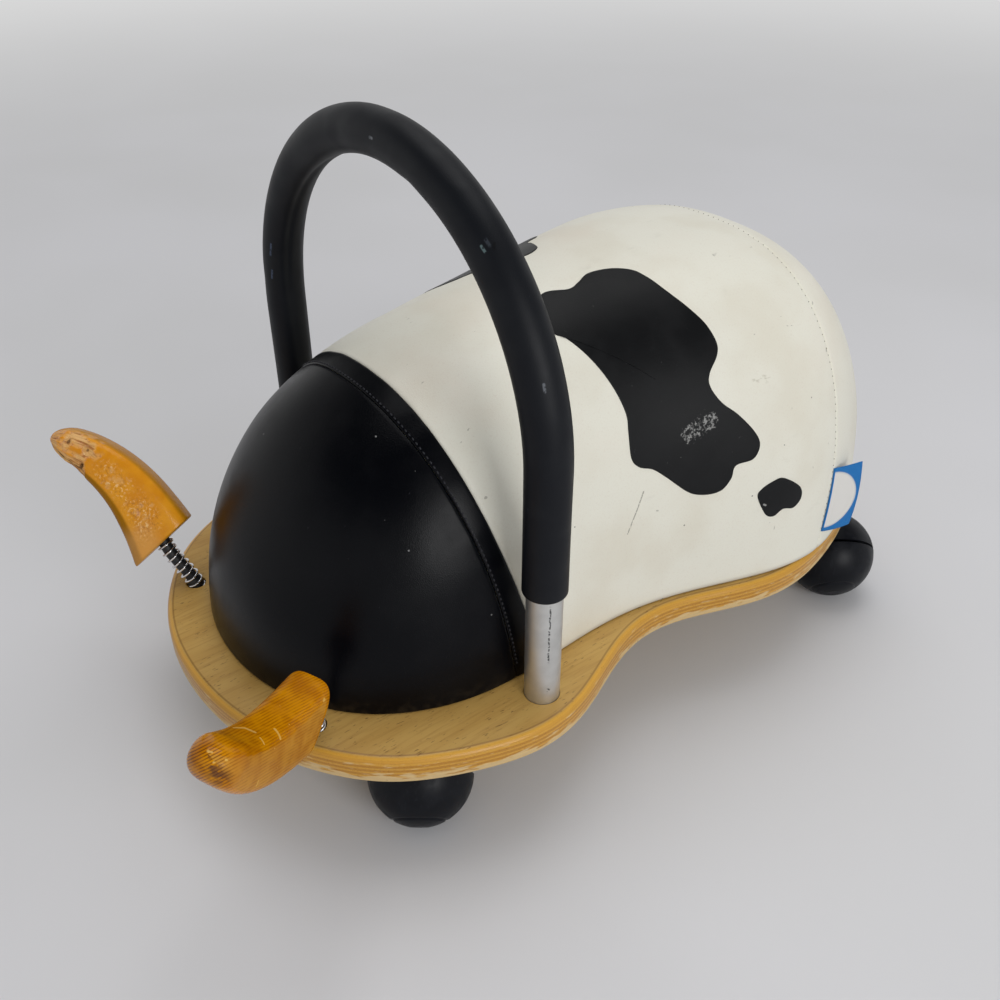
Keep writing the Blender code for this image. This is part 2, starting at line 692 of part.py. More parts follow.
def stem_line(side, seat, aim):
    """The bent middle line of a horn's spring: points, unit tangents and length from its foot,
    side being 1 at the left and -1 at the right."""
    lean = unit(SPRING_LEAN) * [side, 1, 1]
    aim = unit(aim)
    foot = np.array([side * SPRING_FOOT[0], SPRING_FOOT[1], 0])
    seat = np.array(seat)
    span = np.linalg.norm(seat - foot)
    t = np.linspace(0, 1, 121)[:, None]
    bend = foot * (2 * t ** 3 - 3 * t ** 2 + 1) + seat * (3 * t ** 2 - 2 * t ** 3)
    bend = bend + span * (lean * (t ** 3 - 2 * t ** 2 + t) + aim * (t ** 3 - t ** 2))
    below = foot - lean * np.linspace(BOARD_SOCKET - GAP, 0, 20, endpoint=False)[:, None]
    above = seat + aim * np.linspace(HORN_SOCKET - GAP, 0, 20, endpoint=False)[::-1, None]
    line = np.concatenate([below, bend, above])
    tangent = np.gradient(line, axis=0)
    tangent /= np.linalg.norm(tangent, axis=1, keepdims=True)
    steps = np.linalg.norm(np.diff(line, axis=0), axis=1)
    return line, tangent, np.concatenate([[0], np.cumsum(steps)])


def on_line(line, length, place):
    """Points of a line at given lengths from its start."""
    return np.stack([np.interp(place, length, line[:, axis]) for axis in range(3)], axis=-1)


def coil_points(side, seat, aim):
    """The spring wire's centre line: curls about the stem, both ends straight along it."""
    line, tangent, length = stem_line(side, seat, aim)
    radius = SPRING_R - WIRE_R
    start = 2 * WIRE_R
    turns = round((length[-1] - 2 * start) / SPRING_PITCH)
    count = turns * CURL_POINTS + 1
    place = np.linspace(start, length[-1] - start, count)
    place = np.concatenate([[0], place, [length[-1]]])
    angle = np.linspace(0, 2 * math.pi * turns, count)
    angle = np.concatenate([angle[:1], angle, angle[-1:]])
    centre, ahead = on_line(line, length, place), on_line(tangent, length, place)
    first = np.cross(ahead, [0, 1, 0])
    first /= np.linalg.norm(first, axis=1, keepdims=True)
    second = np.cross(ahead, first)
    return centre + radius * (np.cos(angle)[:, None] * first + np.sin(angle)[:, None] * second)


def least_gap(points):
    """The least free space between the wire's curls, measured between its points."""
    away = np.linalg.norm(points[:, None] - points[None], axis=-1)
    apart = np.abs(np.subtract.outer(np.arange(len(points)), np.arange(len(points))))
    return away[apart > CURL_POINTS / 2].min() - 2 * WIRE_R


def turn_towards(direction):
    """The rotation that takes +Z to a direction."""
    return Vector(direction).to_track_quat("Z", "Y").to_matrix()


def horn(name, side, seat, aim, bulge):
    """A wooden horn on its coil spring, with the spring's rubber core and the two sockets."""
    line, tangent, length = stem_line(side, seat, aim)
    rings = horn_points(seat, aim, bulge)
    obj = put(f"horn_{name}", loft_mesh(f"horn_{name}", rings), HORN_WOOD, deck)
    socket_r = around_circumscribed(SPRING_R + SOCKET_CLEARANCE, SOCKET_SIDES)
    horn_cut = rod_mesh("horn_socket", socket_r, -HORN_SOCKET, HORN_SOCKET, SOCKET_SIDES)
    cutter = put_cutter(f"horn_socket_{name}", horn_cut, deck, seat, turn_towards(aim))
    boolean(obj, cutter)

    board_cut = rod_mesh("board_socket", socket_r, -BOARD_SOCKET, BOARD_SOCKET, SOCKET_SIDES)
    foot = (side * SPRING_FOOT[0], SPRING_FOOT[1], 0)
    lean = np.array(SPRING_LEAN) * [side, 1, 1]
    put_cutter(f"board_socket_{name}", board_cut, deck, foot, turn_towards(lean), BOARD_CUTTERS)

    wire = coil_points(side, seat, aim)
    print(f"horn_spring_{name}: least gap between curls {least_gap(wire) * 1000:.2f} mm")
    spring = baked(tube_curve(f"horn_spring_{name}", wire, WIRE_R, 1))
    put(f"horn_spring_{name}", spring, SPRING_STEEL, deck)
    core_line = on_line(line, length, np.linspace(0, length[-1], 10))
    core = baked(tube_curve(f"horn_core_{name}", core_line, CORE_R, 2))
    put(f"horn_core_{name}", core, CORE_RUBBER, deck)

    free = (BOARD_SOCKET - GAP, length[-1] - HORN_SOCKET + GAP)
    for rock, share in (("side", ROCK_SIDE_SHARE), ("fore", ROCK_FORE_SHARE)):
        pivot = on_line(line, length, [free[0] + share * (free[1] - free[0])])[0]
        put_empty(f"horn_{name}_{rock}_rock", pivot, deck)


def dome_profile():
    """The wheel's outer face from the pole down: a sphere with a shallow ring and a tread band."""
    tread = 90 - math.degrees(AXLE_TILT)
    ring = math.degrees(math.asin(GROOVE_R / BALL_R))
    ring_half = math.degrees(GROOVE_HALF_WIDTH / BALL_R)
    line = [(0, BALL_R)]
    for angle, radius in (
            (ring / 2, BALL_R), (ring - ring_half, BALL_R), (ring, BALL_R - GROOVE_DEPTH),
            (ring + ring_half, BALL_R), ((ring + tread) / 2 + 2, BALL_R),
            (tread - TREAD_HALF_ANGLE, BALL_R / math.cos(math.radians(TREAD_HALF_ANGLE))),
            (tread + TREAD_HALF_ANGLE, BALL_R / math.cos(math.radians(TREAD_HALF_ANGLE))),
            (tread + 17, BALL_R)):
        a = math.radians(angle)
        line.append((radius * math.sin(a), radius * math.cos(a)))
    return line


def wheel_mesh():
    """A domed wheel with a flat back and a blind bore for its axle."""
    rim = BALL_R - GROOVE_DEPTH
    bore = AXLE_R + GAP
    back = [(rim, WHEEL_BACK), (bore, WHEEL_BACK), (bore, AXLE_FRONT + GAP), (0, AXLE_FRONT + GAP)]
    return turned_mesh("caster_wheel", dome_profile() + back, CASTER_SIDES)


def hood_shell_mesh():
    """The hood's round shell with a hub and a blind bore for the axle."""
    bore = AXLE_R + GAP
    inner = BALL_R - HOOD_WALL
    outside = [(BALL_R * math.sin(a), -BALL_R * math.cos(a))
               for a in np.radians([72, 54, 36, 18])]
    edge = math.sqrt(BALL_R ** 2 - HOOD_FRONT ** 2)
    pocket = [(inner * math.sin(a), -inner * math.cos(a)) for a in np.radians([30, 60])]
    line = [(0, -AXLE_BACK - GAP), (bore, -AXLE_BACK - GAP), (bore, HOOD_FRONT), (HUB_R, HOOD_FRONT),
            (HUB_R, -AXLE_BACK), *pocket, (inner, HOOD_FRONT), (edge, HOOD_FRONT), *outside,
            (0, -BALL_R)]
    return turned_mesh("hood_shell", line, CASTER_SIDES)


def ball_place():
    """The wheel's centre from the swivel axis at the floor."""
    return Vector((TRAIL * math.cos(ROLL_HEADING), TRAIL * math.sin(ROLL_HEADING), BALL_R))


def axle_direction():
    """The slanted axle's direction, from the hood out through the wheel's dome."""
    heading = ROLL_HEADING - math.pi / 2
    level = math.cos(AXLE_TILT)
    return Vector((level * math.cos(heading), level * math.sin(heading), -math.sin(AXLE_TILT)))


def axle_turn():
    """The rotation that puts +Z on the axle and +X at the floor under the wheel."""
    along_axle = axle_direction()
    down = Vector((0, 0, -1))
    down = (down - down.dot(along_axle) * along_axle).normalized()
    return Matrix((down, along_axle.cross(down), along_axle)).transposed()


def hood_mesh():
    """The hood with its upright boss, bored for the kingpin."""
    shell = put_cutter("hood_shell", hood_shell_mesh(), None, ball_place(), axle_turn())
    top = PLATE_Z - GAP
    bore_floor = PLATE_Z - KINGPIN_LENGTH - KINGPIN_CLEARANCE
    boss = put_cutter("boss", rod_mesh("boss", BOSS_R, bore_floor - BOSS_FLOOR, top, PIN_SIDES))
    bore_r = around_circumscribed(KINGPIN_R + KINGPIN_CLEARANCE, PIN_SIDES)
    bore = put_cutter("boss_bore", rod_mesh("boss_bore", bore_r, bore_floor, top + GAP, PIN_SIDES))
    boolean(shell, boss, "UNION")
    boolean(shell, bore)
    mesh = baked(shell)
    mesh.transform(Matrix.Translation(ball_place()) @ axle_turn().to_4x4())
    bpy.data.objects.remove(boss)
    bpy.data.objects.remove(bore)
    return mesh


def round_corners(size, radius, steps):
    """A square outline about the origin with rounded corners."""
    reach = size / 2 - radius
    line = []
    for corner in range(4):
        start = corner * math.pi / 2
        middle = Matrix.Rotation(start, 2) @ Vector((reach, reach))
        for step in range(steps + 1):
            a = start + step * math.pi / 2 / steps
            line.append((middle.x + radius * math.cos(a), middle.y + radius * math.sin(a)))
    return line


def hole_places():
    """The four holes of a caster's plate, from its middle."""
    reach = PLATE_HOLE_SPACING / 2
    return [(x, y) for y in (-reach, reach) for x in (-reach, reach)]


def plate_with_kingpin():
    """A caster's top plate with its four holes and the kingpin that stands down from it."""
    outline = round_corners(PLATE_SIZE, PLATE_CORNER, 3)
    plate = put_cutter("plate", plate_mesh("caster_plate", outline, PLATE_T))
    pin = put_cutter("pin", rod_mesh("pin", KINGPIN_R, -KINGPIN_LENGTH, PLATE_T / 2, PIN_SIDES))
    boolean(plate, pin, "UNION")
    hole_r = around_circumscribed(PLATE_HOLE_R, SCREW_SIDES)
    hole = rod_mesh("plate_hole", hole_r, -GAP, PLATE_T + GAP, SCREW_SIDES)
    holes = [put_cutter("plate_hole", hole, None, (x, y, 0)) for x, y in hole_places()]
    for cutter in holes:
        boolean(plate, cutter)
    mesh = baked(plate)
    for guide in (pin, *holes):
        bpy.data.objects.remove(guide)
    return mesh


def screw_mesh(name, length, head_t):
    """A wood screw that points up, its head's upper face at z = 0."""
    point = 2 * SCREW_SHANK_R
    return turned_mesh(name, [
        (0, length), (SCREW_SHANK_R, length - point), (SCREW_SHANK_R, 0), (SCREW_HEAD_R, 0),
        (SCREW_HEAD_R, -head_t / 2), (SCREW_HEAD_FACE_R, -head_t), (0, -head_t)], SCREW_SIDES)


def caster_places():
    """The swivel axes: name, side to side, and along from the handle."""
    front = BOARD_FRONT + CASTER_FRONT
    rear = BOARD_REAR - CASTER_REAR
    front_x = board_half_width(front) - CASTER_FRONT_EDGE
    rear_x = board_half_width(rear) - CASTER_REAR_EDGE
    return (("front_left", front_x, front), ("front_right", -front_x, front),
            ("rear_left", rear_x, rear), ("rear_right", -rear_x, rear))


def casters():
    """Four ball casters, each a plate with its kingpin, a hood, an axle, a wheel and four screws."""
    hood, wheel, plate = hood_mesh(), wheel_mesh(), plate_with_kingpin()
    axle = rod_mesh("caster_axle", AXLE_R, -AXLE_BACK, AXLE_FRONT, PIN_SIDES)
    screw = screw_mesh("caster_screw", SCREW_LENGTH, CASTER_SCREW_HEAD_T)
    depth = SCREW_LENGTH - PLATE_T
    pilot = rod_mesh("screw_pilot", SCREW_SHANK_R + GAP, -GAP, depth + GAP, SCREW_SIDES)
    for name, x, y in caster_places():
        swivel = put_empty(f"caster_{name}_swivel", (x, y, -DECK_Z), deck)
        put(f"caster_{name}_plate", plate, ZINC, deck, (x, y, PLATE_Z - DECK_Z))
        put(f"caster_{name}_hood", hood, CASTER_PLASTIC, swivel)
        put(f"caster_{name}_axle", axle, ZINC, swivel, ball_place(), axle_turn())
        put(f"caster_{name}_wheel", wheel, CASTER_PLASTIC, swivel, ball_place(), axle_turn())
        for number, (hole_x, hole_y) in enumerate(hole_places(), 1):
            place = (x + hole_x, y + hole_y, PLATE_Z - GAP - DECK_Z)
            put(f"caster_{name}_screw_{number}", screw, ZINC, deck, place)
            pilot_place = (x + hole_x, y + hole_y, -BOARD_T)
            put_cutter(f"pilot_{name}_{number}", pilot, deck, pilot_place,
                       collection=BOARD_CUTTERS)


def body_screws():
    """Four screws that come up through the board into the plywood panel."""
    screw = screw_mesh("body_screw", BOARD_T + BODY_SCREW_BITE, SCREW_HEAD_T)
    hole_r = around_circumscribed(SCREW_SHANK_R + GAP, SCREW_SIDES)
    hole = rod_mesh("body_screw_hole", hole_r, -BOARD_T - GAP, GAP, SCREW_SIDES)
    for number, (x, y) in enumerate(body_screw_places(), 1):
        put(f"body_screw_{number}", screw, ZINC, deck, (x, y, -BOARD_T - GAP))
        put_cutter(f"body_screw_hole_{number}", hole, deck, (x, y, 0), collection=BOARD_CUTTERS)


def base_board():
    """The peanut-shaped plywood board with its bores, sockets and pilot holes."""
    outline = outline_of(BOARD_HALF_WIDTHS, BOARD_FRONT, BOARD_REAR)
    mesh = plate_mesh("base_board", outline, BOARD_T, BOARD_ROUND)
    boolean(put("base_board", mesh, PLYWOOD, deck, (0, 0, -BOARD_T)), BOARD_CUTTERS)


HORNS = (
    ("left", 1, HORN_LEFT_SEAT, HORN_LEFT_AIM, HORN_LEFT_BULGE),
    ("right", -1, HORN_RIGHT_SEAT, HORN_RIGHT_AIM, HORN_RIGHT_BULGE))
FOREMOST = min(float(horn_points(*shape)[..., 1].min()) for _, _, *shape in HORNS)
HANDLE_Y = -(FOREMOST + BOARD_REAR) / 2
deck = put_empty("deck", (0, HANDLE_Y, DECK_Z))

handle()
for horn_shape in HORNS:
    horn(*horn_shape)
casters()
body_screws()
base_board()

core_panel()
foam_core()
cover_panel("head_cover", None, STITCH_SEAM, 9, BLACK_LEATHER)
cover_panel("head_band", STITCH_SEAM, BAND_SEAM, 2, BLACK_LEATHER)
cover_panel("body_cover", BAND_SEAM, REAR_SEAM, 10, WHITE_LEATHER)
cover_panel("rear_cover", REAR_SEAM, None, 9, WHITE_LEATHER)
patch("patch_left_large", LEFT_LARGE_MIDDLE, LEFT_LARGE_PATCH, 4, 2)
patch("patch_left_small", LEFT_SMALL_MIDDLE, LEFT_SMALL_PATCH, 2, 2)
patch("patch_right_large", RIGHT_LARGE_MIDDLE, RIGHT_LARGE_PATCH, 4, 2)
side_label()

bpy.context.view_layer.update()
for empty in [obj for obj in PARTS.objects if obj.type == "EMPTY"]:
    print(empty.name, "at", [round(value, 5) for value in empty.matrix_world.translation])
print("axle direction", [round(value, 5) for value in axle_direction()])
print("wheel centre from the swivel", [round(value, 5) for value in ball_place()])
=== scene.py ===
"""Looks of the ride-on cow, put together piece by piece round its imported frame.

Metres, +Z up. The floor is z = 0, the head faces -Y and the cow's left flank faces +X.
"""

import json
import math

import bmesh
import bpy
import numpy as np
from mathutils import Matrix, Vector


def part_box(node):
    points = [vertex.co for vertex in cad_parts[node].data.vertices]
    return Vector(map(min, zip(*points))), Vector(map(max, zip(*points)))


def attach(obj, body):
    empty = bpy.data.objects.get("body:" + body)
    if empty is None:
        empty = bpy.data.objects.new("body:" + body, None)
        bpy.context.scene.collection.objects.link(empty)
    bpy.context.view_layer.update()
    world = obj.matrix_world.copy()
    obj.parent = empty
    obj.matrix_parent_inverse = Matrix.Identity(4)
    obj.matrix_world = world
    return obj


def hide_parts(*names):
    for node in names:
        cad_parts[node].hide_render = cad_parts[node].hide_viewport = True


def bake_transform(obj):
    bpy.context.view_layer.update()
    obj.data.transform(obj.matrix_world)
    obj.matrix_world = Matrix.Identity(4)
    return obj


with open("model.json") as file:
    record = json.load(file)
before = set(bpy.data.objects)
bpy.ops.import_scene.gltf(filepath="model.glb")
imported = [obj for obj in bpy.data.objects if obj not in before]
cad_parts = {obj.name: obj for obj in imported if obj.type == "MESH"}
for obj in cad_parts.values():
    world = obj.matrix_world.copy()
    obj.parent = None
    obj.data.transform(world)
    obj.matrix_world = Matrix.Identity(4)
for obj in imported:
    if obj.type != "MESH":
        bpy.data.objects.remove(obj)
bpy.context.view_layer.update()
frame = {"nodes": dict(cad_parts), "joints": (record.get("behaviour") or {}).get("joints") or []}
SCENE = bpy.context.scene


# The studio: a pale floor that turns into the backdrop far out, two soft lamps, and the camera where
# the photographer stood, looking down over the cow's left horn. None of it is part of the toy.
CAMERA_PLACE = (0.4349, -0.3321, 0.4932)
CAMERA_HEADING = 52.37
CAMERA_DROP = 35.15
CAMERA_LENS = 38.62
FLOOR_REACH = 9.0
FLOOR_FADE = (0.7, 2.8)
OVERHEAD = ((-0.35, 0.35, 1.9), 1.5, 0.34)
WINDOW = ((2.0, -0.25, 0.9), 1.0, 0.38)
ROOM_LIGHT = (0.14, 0.50)
BACKDROP = 0.70
CEILING = 0.05
CEILING_FADE = (0.34, 0.74)


def shown(red, green, blue):
    """A colour as a screen shows it, 0 to 255, turned into the linear one that a shader takes."""
    channels = np.array([red, green, blue]) / 255
    linear = np.where(channels <= 0.04045, channels / 12.92, ((channels + 0.055) / 1.055) ** 2.4)
    return (*linear.tolist(), 1.0)


def grey(level):
    """A grey of a linear level."""
    return (level, level, level, 1.0)


class Value:
    """A socket of a material. Arithmetic on it adds Math nodes, and node() adds any other one."""

    def __init__(self, tree, socket=None):
        self.tree = tree
        self.socket = socket

    def node(self, kind, settings=None, inputs=None, output=0):
        """Adds a node: its settings are set first, then the values or links of its sockets."""
        made = self.tree.nodes.new("ShaderNode" + kind)
        for name, value in (settings or {}).items():
            setattr(made, name, value)
        for name, value in (inputs or {}).items():
            if isinstance(value, Value):
                self.tree.links.new(value.socket, made.inputs[name])
            else:
                made.inputs[name].default_value = value
        return Value(self.tree, made.outputs[output])

    def math(self, operation, *others):
        """A Math node of this value and others."""
        return self.node("Math", {"operation": operation}, dict(enumerate((self, *others))))

    def __add__(self, other):
        return self.math("ADD", other)

    def __sub__(self, other):
        return self.math("SUBTRACT", other)

    def __rsub__(self, other):
        return self.math("MULTIPLY_ADD", -1.0, other)

    def __mul__(self, other):
        return self.math("MULTIPLY", other)

    __radd__ = __add__
    __rmul__ = __mul__

    def rise(self, low, high):
        """0 up to the low value and 1 from the high one, smooth in between."""
        ends = {"Value": self, "From Min": low, "From Max": high}
        return self.node("MapRange", {"interpolation_type": "SMOOTHSTEP"}, ends)

    def within(self, low, high, blur):
        """1 between two values and 0 outside them, with soft ends."""
        return self.rise(low - blur, low + blur) * self.rise(high + blur, high - blur)

    def mix(self, below, above):
        """The first colour where this value is 0 and the second where it is 1. Three numbers are a
        colour as a screen shows it."""
        pair = [shown(*one) if isinstance(one, tuple) and len(one) == 3 else one for one in (below, above)]
        return self.node("Mix", {"data_type": "RGBA"}, {0: self, 6: pair[0], 7: pair[1]}, 2)

    def coats(self, *coats):
        """This colour with others laid over it in turn, each by its share from 0 to 1."""
        colour = self
        for share, over in coats:
            colour = share.mix(colour, over)
        return colour

    def kept(self, name, output="Vector"):
        """The numbers that a mesh keeps for its points under a name."""
        return self.node("Attribute", {"attribute_name": name}, None, output)

    def part(self, axis):
        """One of the three parts of a place or a direction."""
        return self.node("SeparateXYZ", None, {0: self}, axis)

    def dot(self, direction):
        """The length of a place along a direction."""
        inputs = {0: self, 1: tuple(direction)}
        return self.node("VectorMath", {"operation": "DOT_PRODUCT"}, inputs, "Value")

    def scaled(self, size, stretch):
        """A place counted in lumps of a size in metres, which are longer where stretch is over 1."""
        scale = [1 / (size * share) for share in stretch]
        return self.node("Mapping", None, {"Vector": self, "Scale": scale})

    def noise(self, size, detail=2.0, stretch=(1, 1, 1), rough=0.5):
        """Cloudy noise from 0 to 1 with lumps of a size in metres."""
        inputs = {"Vector": self.scaled(size, stretch), "Scale": 1.0, "Detail": detail, "Roughness": rough}
        return self.node("TexNoise", None, inputs)

    def stroke(self, start, end, width, shares=(1, 1, 1)):
        """1 along a straight mark between two places and 0 beside it, each axis having its share."""
        start, end = Vector(start) * Vector(shares), Vector(end) * Vector(shares)
        run = end - start
        flat = self.node("VectorMath", {"operation": "MULTIPLY"}, {0: self, 1: shares})
        ahead = self.node("VectorMath", {"operation": "SUBTRACT"}, {0: flat, 1: tuple(start)})
        share = self.node("Clamp", None, {0: ahead.dot(run / max(run.length_squared, 1e-12))})
        nearest = self.node("VectorMath", {"operation": "SCALE"}, {0: tuple(run), "Scale": share})
        away = self.node("VectorMath", {"operation": "DISTANCE"}, {0: ahead, 1: nearest}, "Value")
        return away.rise(width, width * 0.4)

    def cells(self, size, feature="DISTANCE_TO_EDGE", stretch=(1, 1, 1)):
        """The distance to the edge, or to the middle, of random cells of a size in metres."""
        inputs = {"Vector": self.scaled(size, stretch), "Scale": 1.0}
        return self.node("TexVoronoi", {"feature": feature}, inputs)


def new_finish(name, **steady):
    """A material with its constant sockets set, and the place on the piece that its nodes read."""
    material = bpy.data.materials.new(name)
    material.use_nodes = True
    shader = material.node_tree.nodes["Principled BSDF"]
    for socket, value in steady.items():
        shader.inputs[socket.replace("_", " ")].default_value = value
    return material, Value(material.node_tree).node("TexCoord", output="Object")


def vary(material, colour, roughness=None, height=None, depth=0.0, coat=None, glow=None):
    """Links what varies over the surface into a material, which it gives back."""
    tree = material.node_tree
    shader = tree.nodes["Principled BSDF"]
    links = {"Base Color": colour, "Roughness": roughness, "Coat Weight": coat, "Emission Color": glow}
    if height is not None:
        links["Normal"] = height.node("Bump", None, {"Distance": depth, "Height": height})
    for socket, value in links.items():
        if value is not None:
            tree.links.new(value.socket, shader.inputs[socket])
    return material


def add_object(name, data):
    """A new object of the scene with its data."""
    made = bpy.data.objects.new(name, data)
    SCENE.collection.objects.link(made)
    return made


def soft_lamp(name, place, size, share):
    """A square lamp that lights a white surface facing it with a share of full white."""
    lamp = bpy.data.lights.new(name, "AREA")
    lamp.size = size
    lamp.energy = share * math.pi ** 2 * Vector(place).length_squared
    holder = add_object(name, lamp)
    holder.location = place
    holder.rotation_euler = Vector(place).to_track_quat("Z", "Y").to_euler()


def studio():
    """The camera, the lamps, the room's own light and the floor."""
    camera = add_object("camera", bpy.data.cameras.new("camera"))
    camera.data.lens = CAMERA_LENS
    camera.location = CAMERA_PLACE
    camera.rotation_euler = (math.radians(90 - CAMERA_DROP), 0, math.radians(CAMERA_HEADING))
    SCENE.camera = camera
    SCENE.view_settings.view_transform = "Standard"
    soft_lamp("overhead_lamp", *OVERHEAD)
    soft_lamp("window_lamp", *WINDOW)

    world = bpy.data.worlds.new("room")
    SCENE.world = world
    world.use_nodes = True
    start = Value(world.node_tree)
    seen = start.node("LightPath", output="Is Camera Ray")
    for ray in ("Is Glossy Ray", "Is Transmission Ray"):
        seen = seen.math("MAXIMUM", start.node("LightPath", output=ray))
    upwards = start.node("TexCoord", output="Generated").part(2)
    backdrop = upwards.rise(*CEILING_FADE).mix(grey(BACKDROP), grey(CEILING))
    room = upwards.rise(-0.4, 1.0).mix(grey(ROOM_LIGHT[0]), grey(ROOM_LIGHT[1]))
    light = seen.mix(room, backdrop)
    world.node_tree.links.new(light.socket, world.node_tree.nodes["Background"].inputs["Color"])

    floor_mesh = bpy.data.meshes.new("floor")
    reach = FLOOR_REACH
    corners = [(-reach, -reach, 0), (reach, -reach, 0), (reach, reach, 0), (-reach, reach, 0)]
    floor_mesh.from_pydata(corners, [], [(0, 1, 2, 3)])
    material, place = new_finish("pale_floor", Specular_IOR_Level=0.0, Emission_Strength=1.0)
    far = place.node("VectorMath", {"operation": "LENGTH"}, {0: place}, "Value").rise(*FLOOR_FADE)
    colour = place.noise(0.35, 2.0).rise(0.3, 0.7).mix((214, 214, 216), (218, 218, 221))
    vary(material, far.mix(colour, grey(0.0)), glow=far.mix(grey(0.0), grey(BACKDROP)))
    floor_mesh.materials.append(material)
    add_object("floor", floor_mesh)


studio()


# The board: 18 mm birch plywood sawn to a peanut, its edges rounded over and the whole clear
# varnished. The handle's tube goes right through it and each horn's spring stands in a socket.
BOARD_LOW, BOARD_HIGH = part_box("base_board")
BOARD_ROUND = 0.0045
BOARD_HALF_WIDTHS = (0.048, 0.0885, 0.1205, 0.1400, 0.1440, 0.1225,
                     0.1195, 0.1360, 0.1340, 0.1205, 0.0985, 0.0575)
PLY_COUNT = 13
DECK = BOARD_HIGH.z
LEG_PLACE = sum(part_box("handle_plug_left"), Vector()) / 2
TUBE_R = 0.0095
SPRING_R = 0.00525
SOCKET_DEPTH = 0.007
PLAY = 0.0003
SOCKET_PLAY = 0.0004
STEM_FEET = {"left": Vector((0.0725, LEG_PLACE.y - 0.107, DECK)),
             "right": Vector((-0.0725, LEG_PLACE.y - 0.107, DECK))}
STEM_LEANS = {"left": Vector((0.29, -0.20, 0.93)).normalized(),
              "right": Vector((-0.29, -0.20, 0.93)).normalized()}


def series(samples, theta):
    """The sine series through values at equal steps of a half turn, read at any angles."""
    order = np.arange(1, len(samples) + 1)
    steps = len(samples) + 1
    weights = np.sin(np.outer(order, order) * math.pi / steps) @ np.array(samples) * 2 / steps
    return np.sin(np.multiply.outer(theta, order)) @ weights


def length_at(front, rear, theta):
    """The place along the length: the middle less half the length times the angle's cosine."""
    return (front + rear) / 2 - (rear - front) / 2 * np.cos(theta)


def theta_at(front, rear, y):
    """The angle that belongs to a place along the length."""
    return np.arccos((front + rear - 2 * np.asarray(y)) / (rear - front))


def unit(vectors):
    """Vectors divided by their lengths."""
    size = np.linalg.norm(vectors, axis=-1, keepdims=True)
    return vectors / np.maximum(size, 1e-12)


def inset(outline, distance):
    """An outline that runs anticlockwise, moved inwards by a distance."""
    ahead = unit(np.roll(outline, -1, axis=0) - np.roll(outline, 1, axis=0))
    return outline + distance * np.stack([-ahead[:, 1], ahead[:, 0]], axis=1)


def quads(rows, columns, wrap=False):
    """The corners of the quads between neighbouring rows and columns of a grid of points."""
    corner = np.arange(rows * columns).reshape(rows, columns)
    if wrap:
        corner = np.concatenate([corner, corner[:, :1]], axis=1)
    faces = [corner[:-1, :-1], corner[1:, :-1], corner[1:, 1:], corner[:-1, 1:]]
    return np.stack(faces, axis=-1).reshape(-1, 4)


def new_mesh(name, points, faces, closed=True, **marks):
    """A mesh of points and faces, merged where points meet, facing out where it is closed. Marks
    are numbers, one or three to a point, that a material can read under their names."""
    mesh = bpy.data.meshes.new(name)
    mesh.from_pydata(np.asarray(points).reshape(-1, 3).tolist(), [], [list(face) for face in faces])
    for mark, values in marks.items():
        kind, key = ("FLOAT_VECTOR", "vector") if values.size == np.size(points) else ("FLOAT", "value")
        store = mesh.attributes.new(mark, kind, "POINT")
        store.data.foreach_set(key, values.astype(np.float32).ravel())
    bm = bmesh.new()
    bm.from_mesh(mesh)
    bmesh.ops.remove_doubles(bm, verts=bm.verts, dist=1e-7)
    if closed:
        bmesh.ops.recalc_face_normals(bm, faces=bm.faces)
    bm.to_mesh(mesh)
    bm.free()
    return mesh


def slab(name, outline, low, high, edge_round, steps):
    """A flat piece: its outline goes up round both edges, drawn in by r less r times the cosine."""
    turn = np.radians(np.linspace(-90, 90, 2 * steps + 2))
    turn[steps:steps + 2] = 0
    middle = np.where(np.arange(len(turn)) <= steps, low + edge_round, high - edge_round)
    count = len(outline)
    rings = [np.column_stack([inset(outline, edge_round * (1 - math.cos(a))),
                              np.full(count, z + edge_round * math.sin(a))])
             for a, z in zip(turn, middle)]
    faces = quads(len(rings), count, wrap=True).tolist()
    faces += [list(range(count)), list(range(count * (len(rings) - 1), count * len(rings)))]
    return new_mesh(name, np.stack(rings), faces)


def carved(mesh, bores, operation="DIFFERENCE"):
    """A mesh with round bores cut out, each given by two points of its axis and its radius."""
    trial = add_object("trial", mesh)
    guides = []
    for start, end, radius in bores:
        along = Vector(end) - Vector(start)
        middle = Matrix.Translation((Vector(start) + Vector(end)) / 2)
        turn = along.to_track_quat("Z", "Y").to_matrix().to_4x4()
        bm = bmesh.new()
        bmesh.ops.create_cone(bm, cap_ends=True, segments=48, radius1=radius, radius2=radius,
                              depth=along.length, matrix=middle @ turn)
        guide_mesh = bpy.data.meshes.new("guide")
        bm.to_mesh(guide_mesh)
        bm.free()
        guides.append(add_object("guide", guide_mesh))
        modifier = trial.modifiers.new("bore", "BOOLEAN")
        modifier.operation = operation
        modifier.object = guides[-1]
    result = bpy.data.meshes.new_from_object(trial.evaluated_get(bpy.context.evaluated_depsgraph_get()))
    for helper in (trial, *guides):
        bpy.data.objects.remove(helper)
    return result


def finish(mesh, material):
    """Gives a mesh its one material."""
    mesh.materials.clear()
    mesh.materials.append(material)


def put_on(name, mesh, material, body, stands_for=(), crease=40):
    """A finished piece: smooth but for its sharp edges, on its body, standing for its CAD nodes."""
    finish(mesh, material)
    mesh.shade_smooth()
    mesh.set_sharp_from_angle(angle=math.radians(crease))
    piece = add_object(name, mesh)
    if stands_for:
        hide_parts(*stands_for)
    if body:
        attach(piece, body)
    return piece


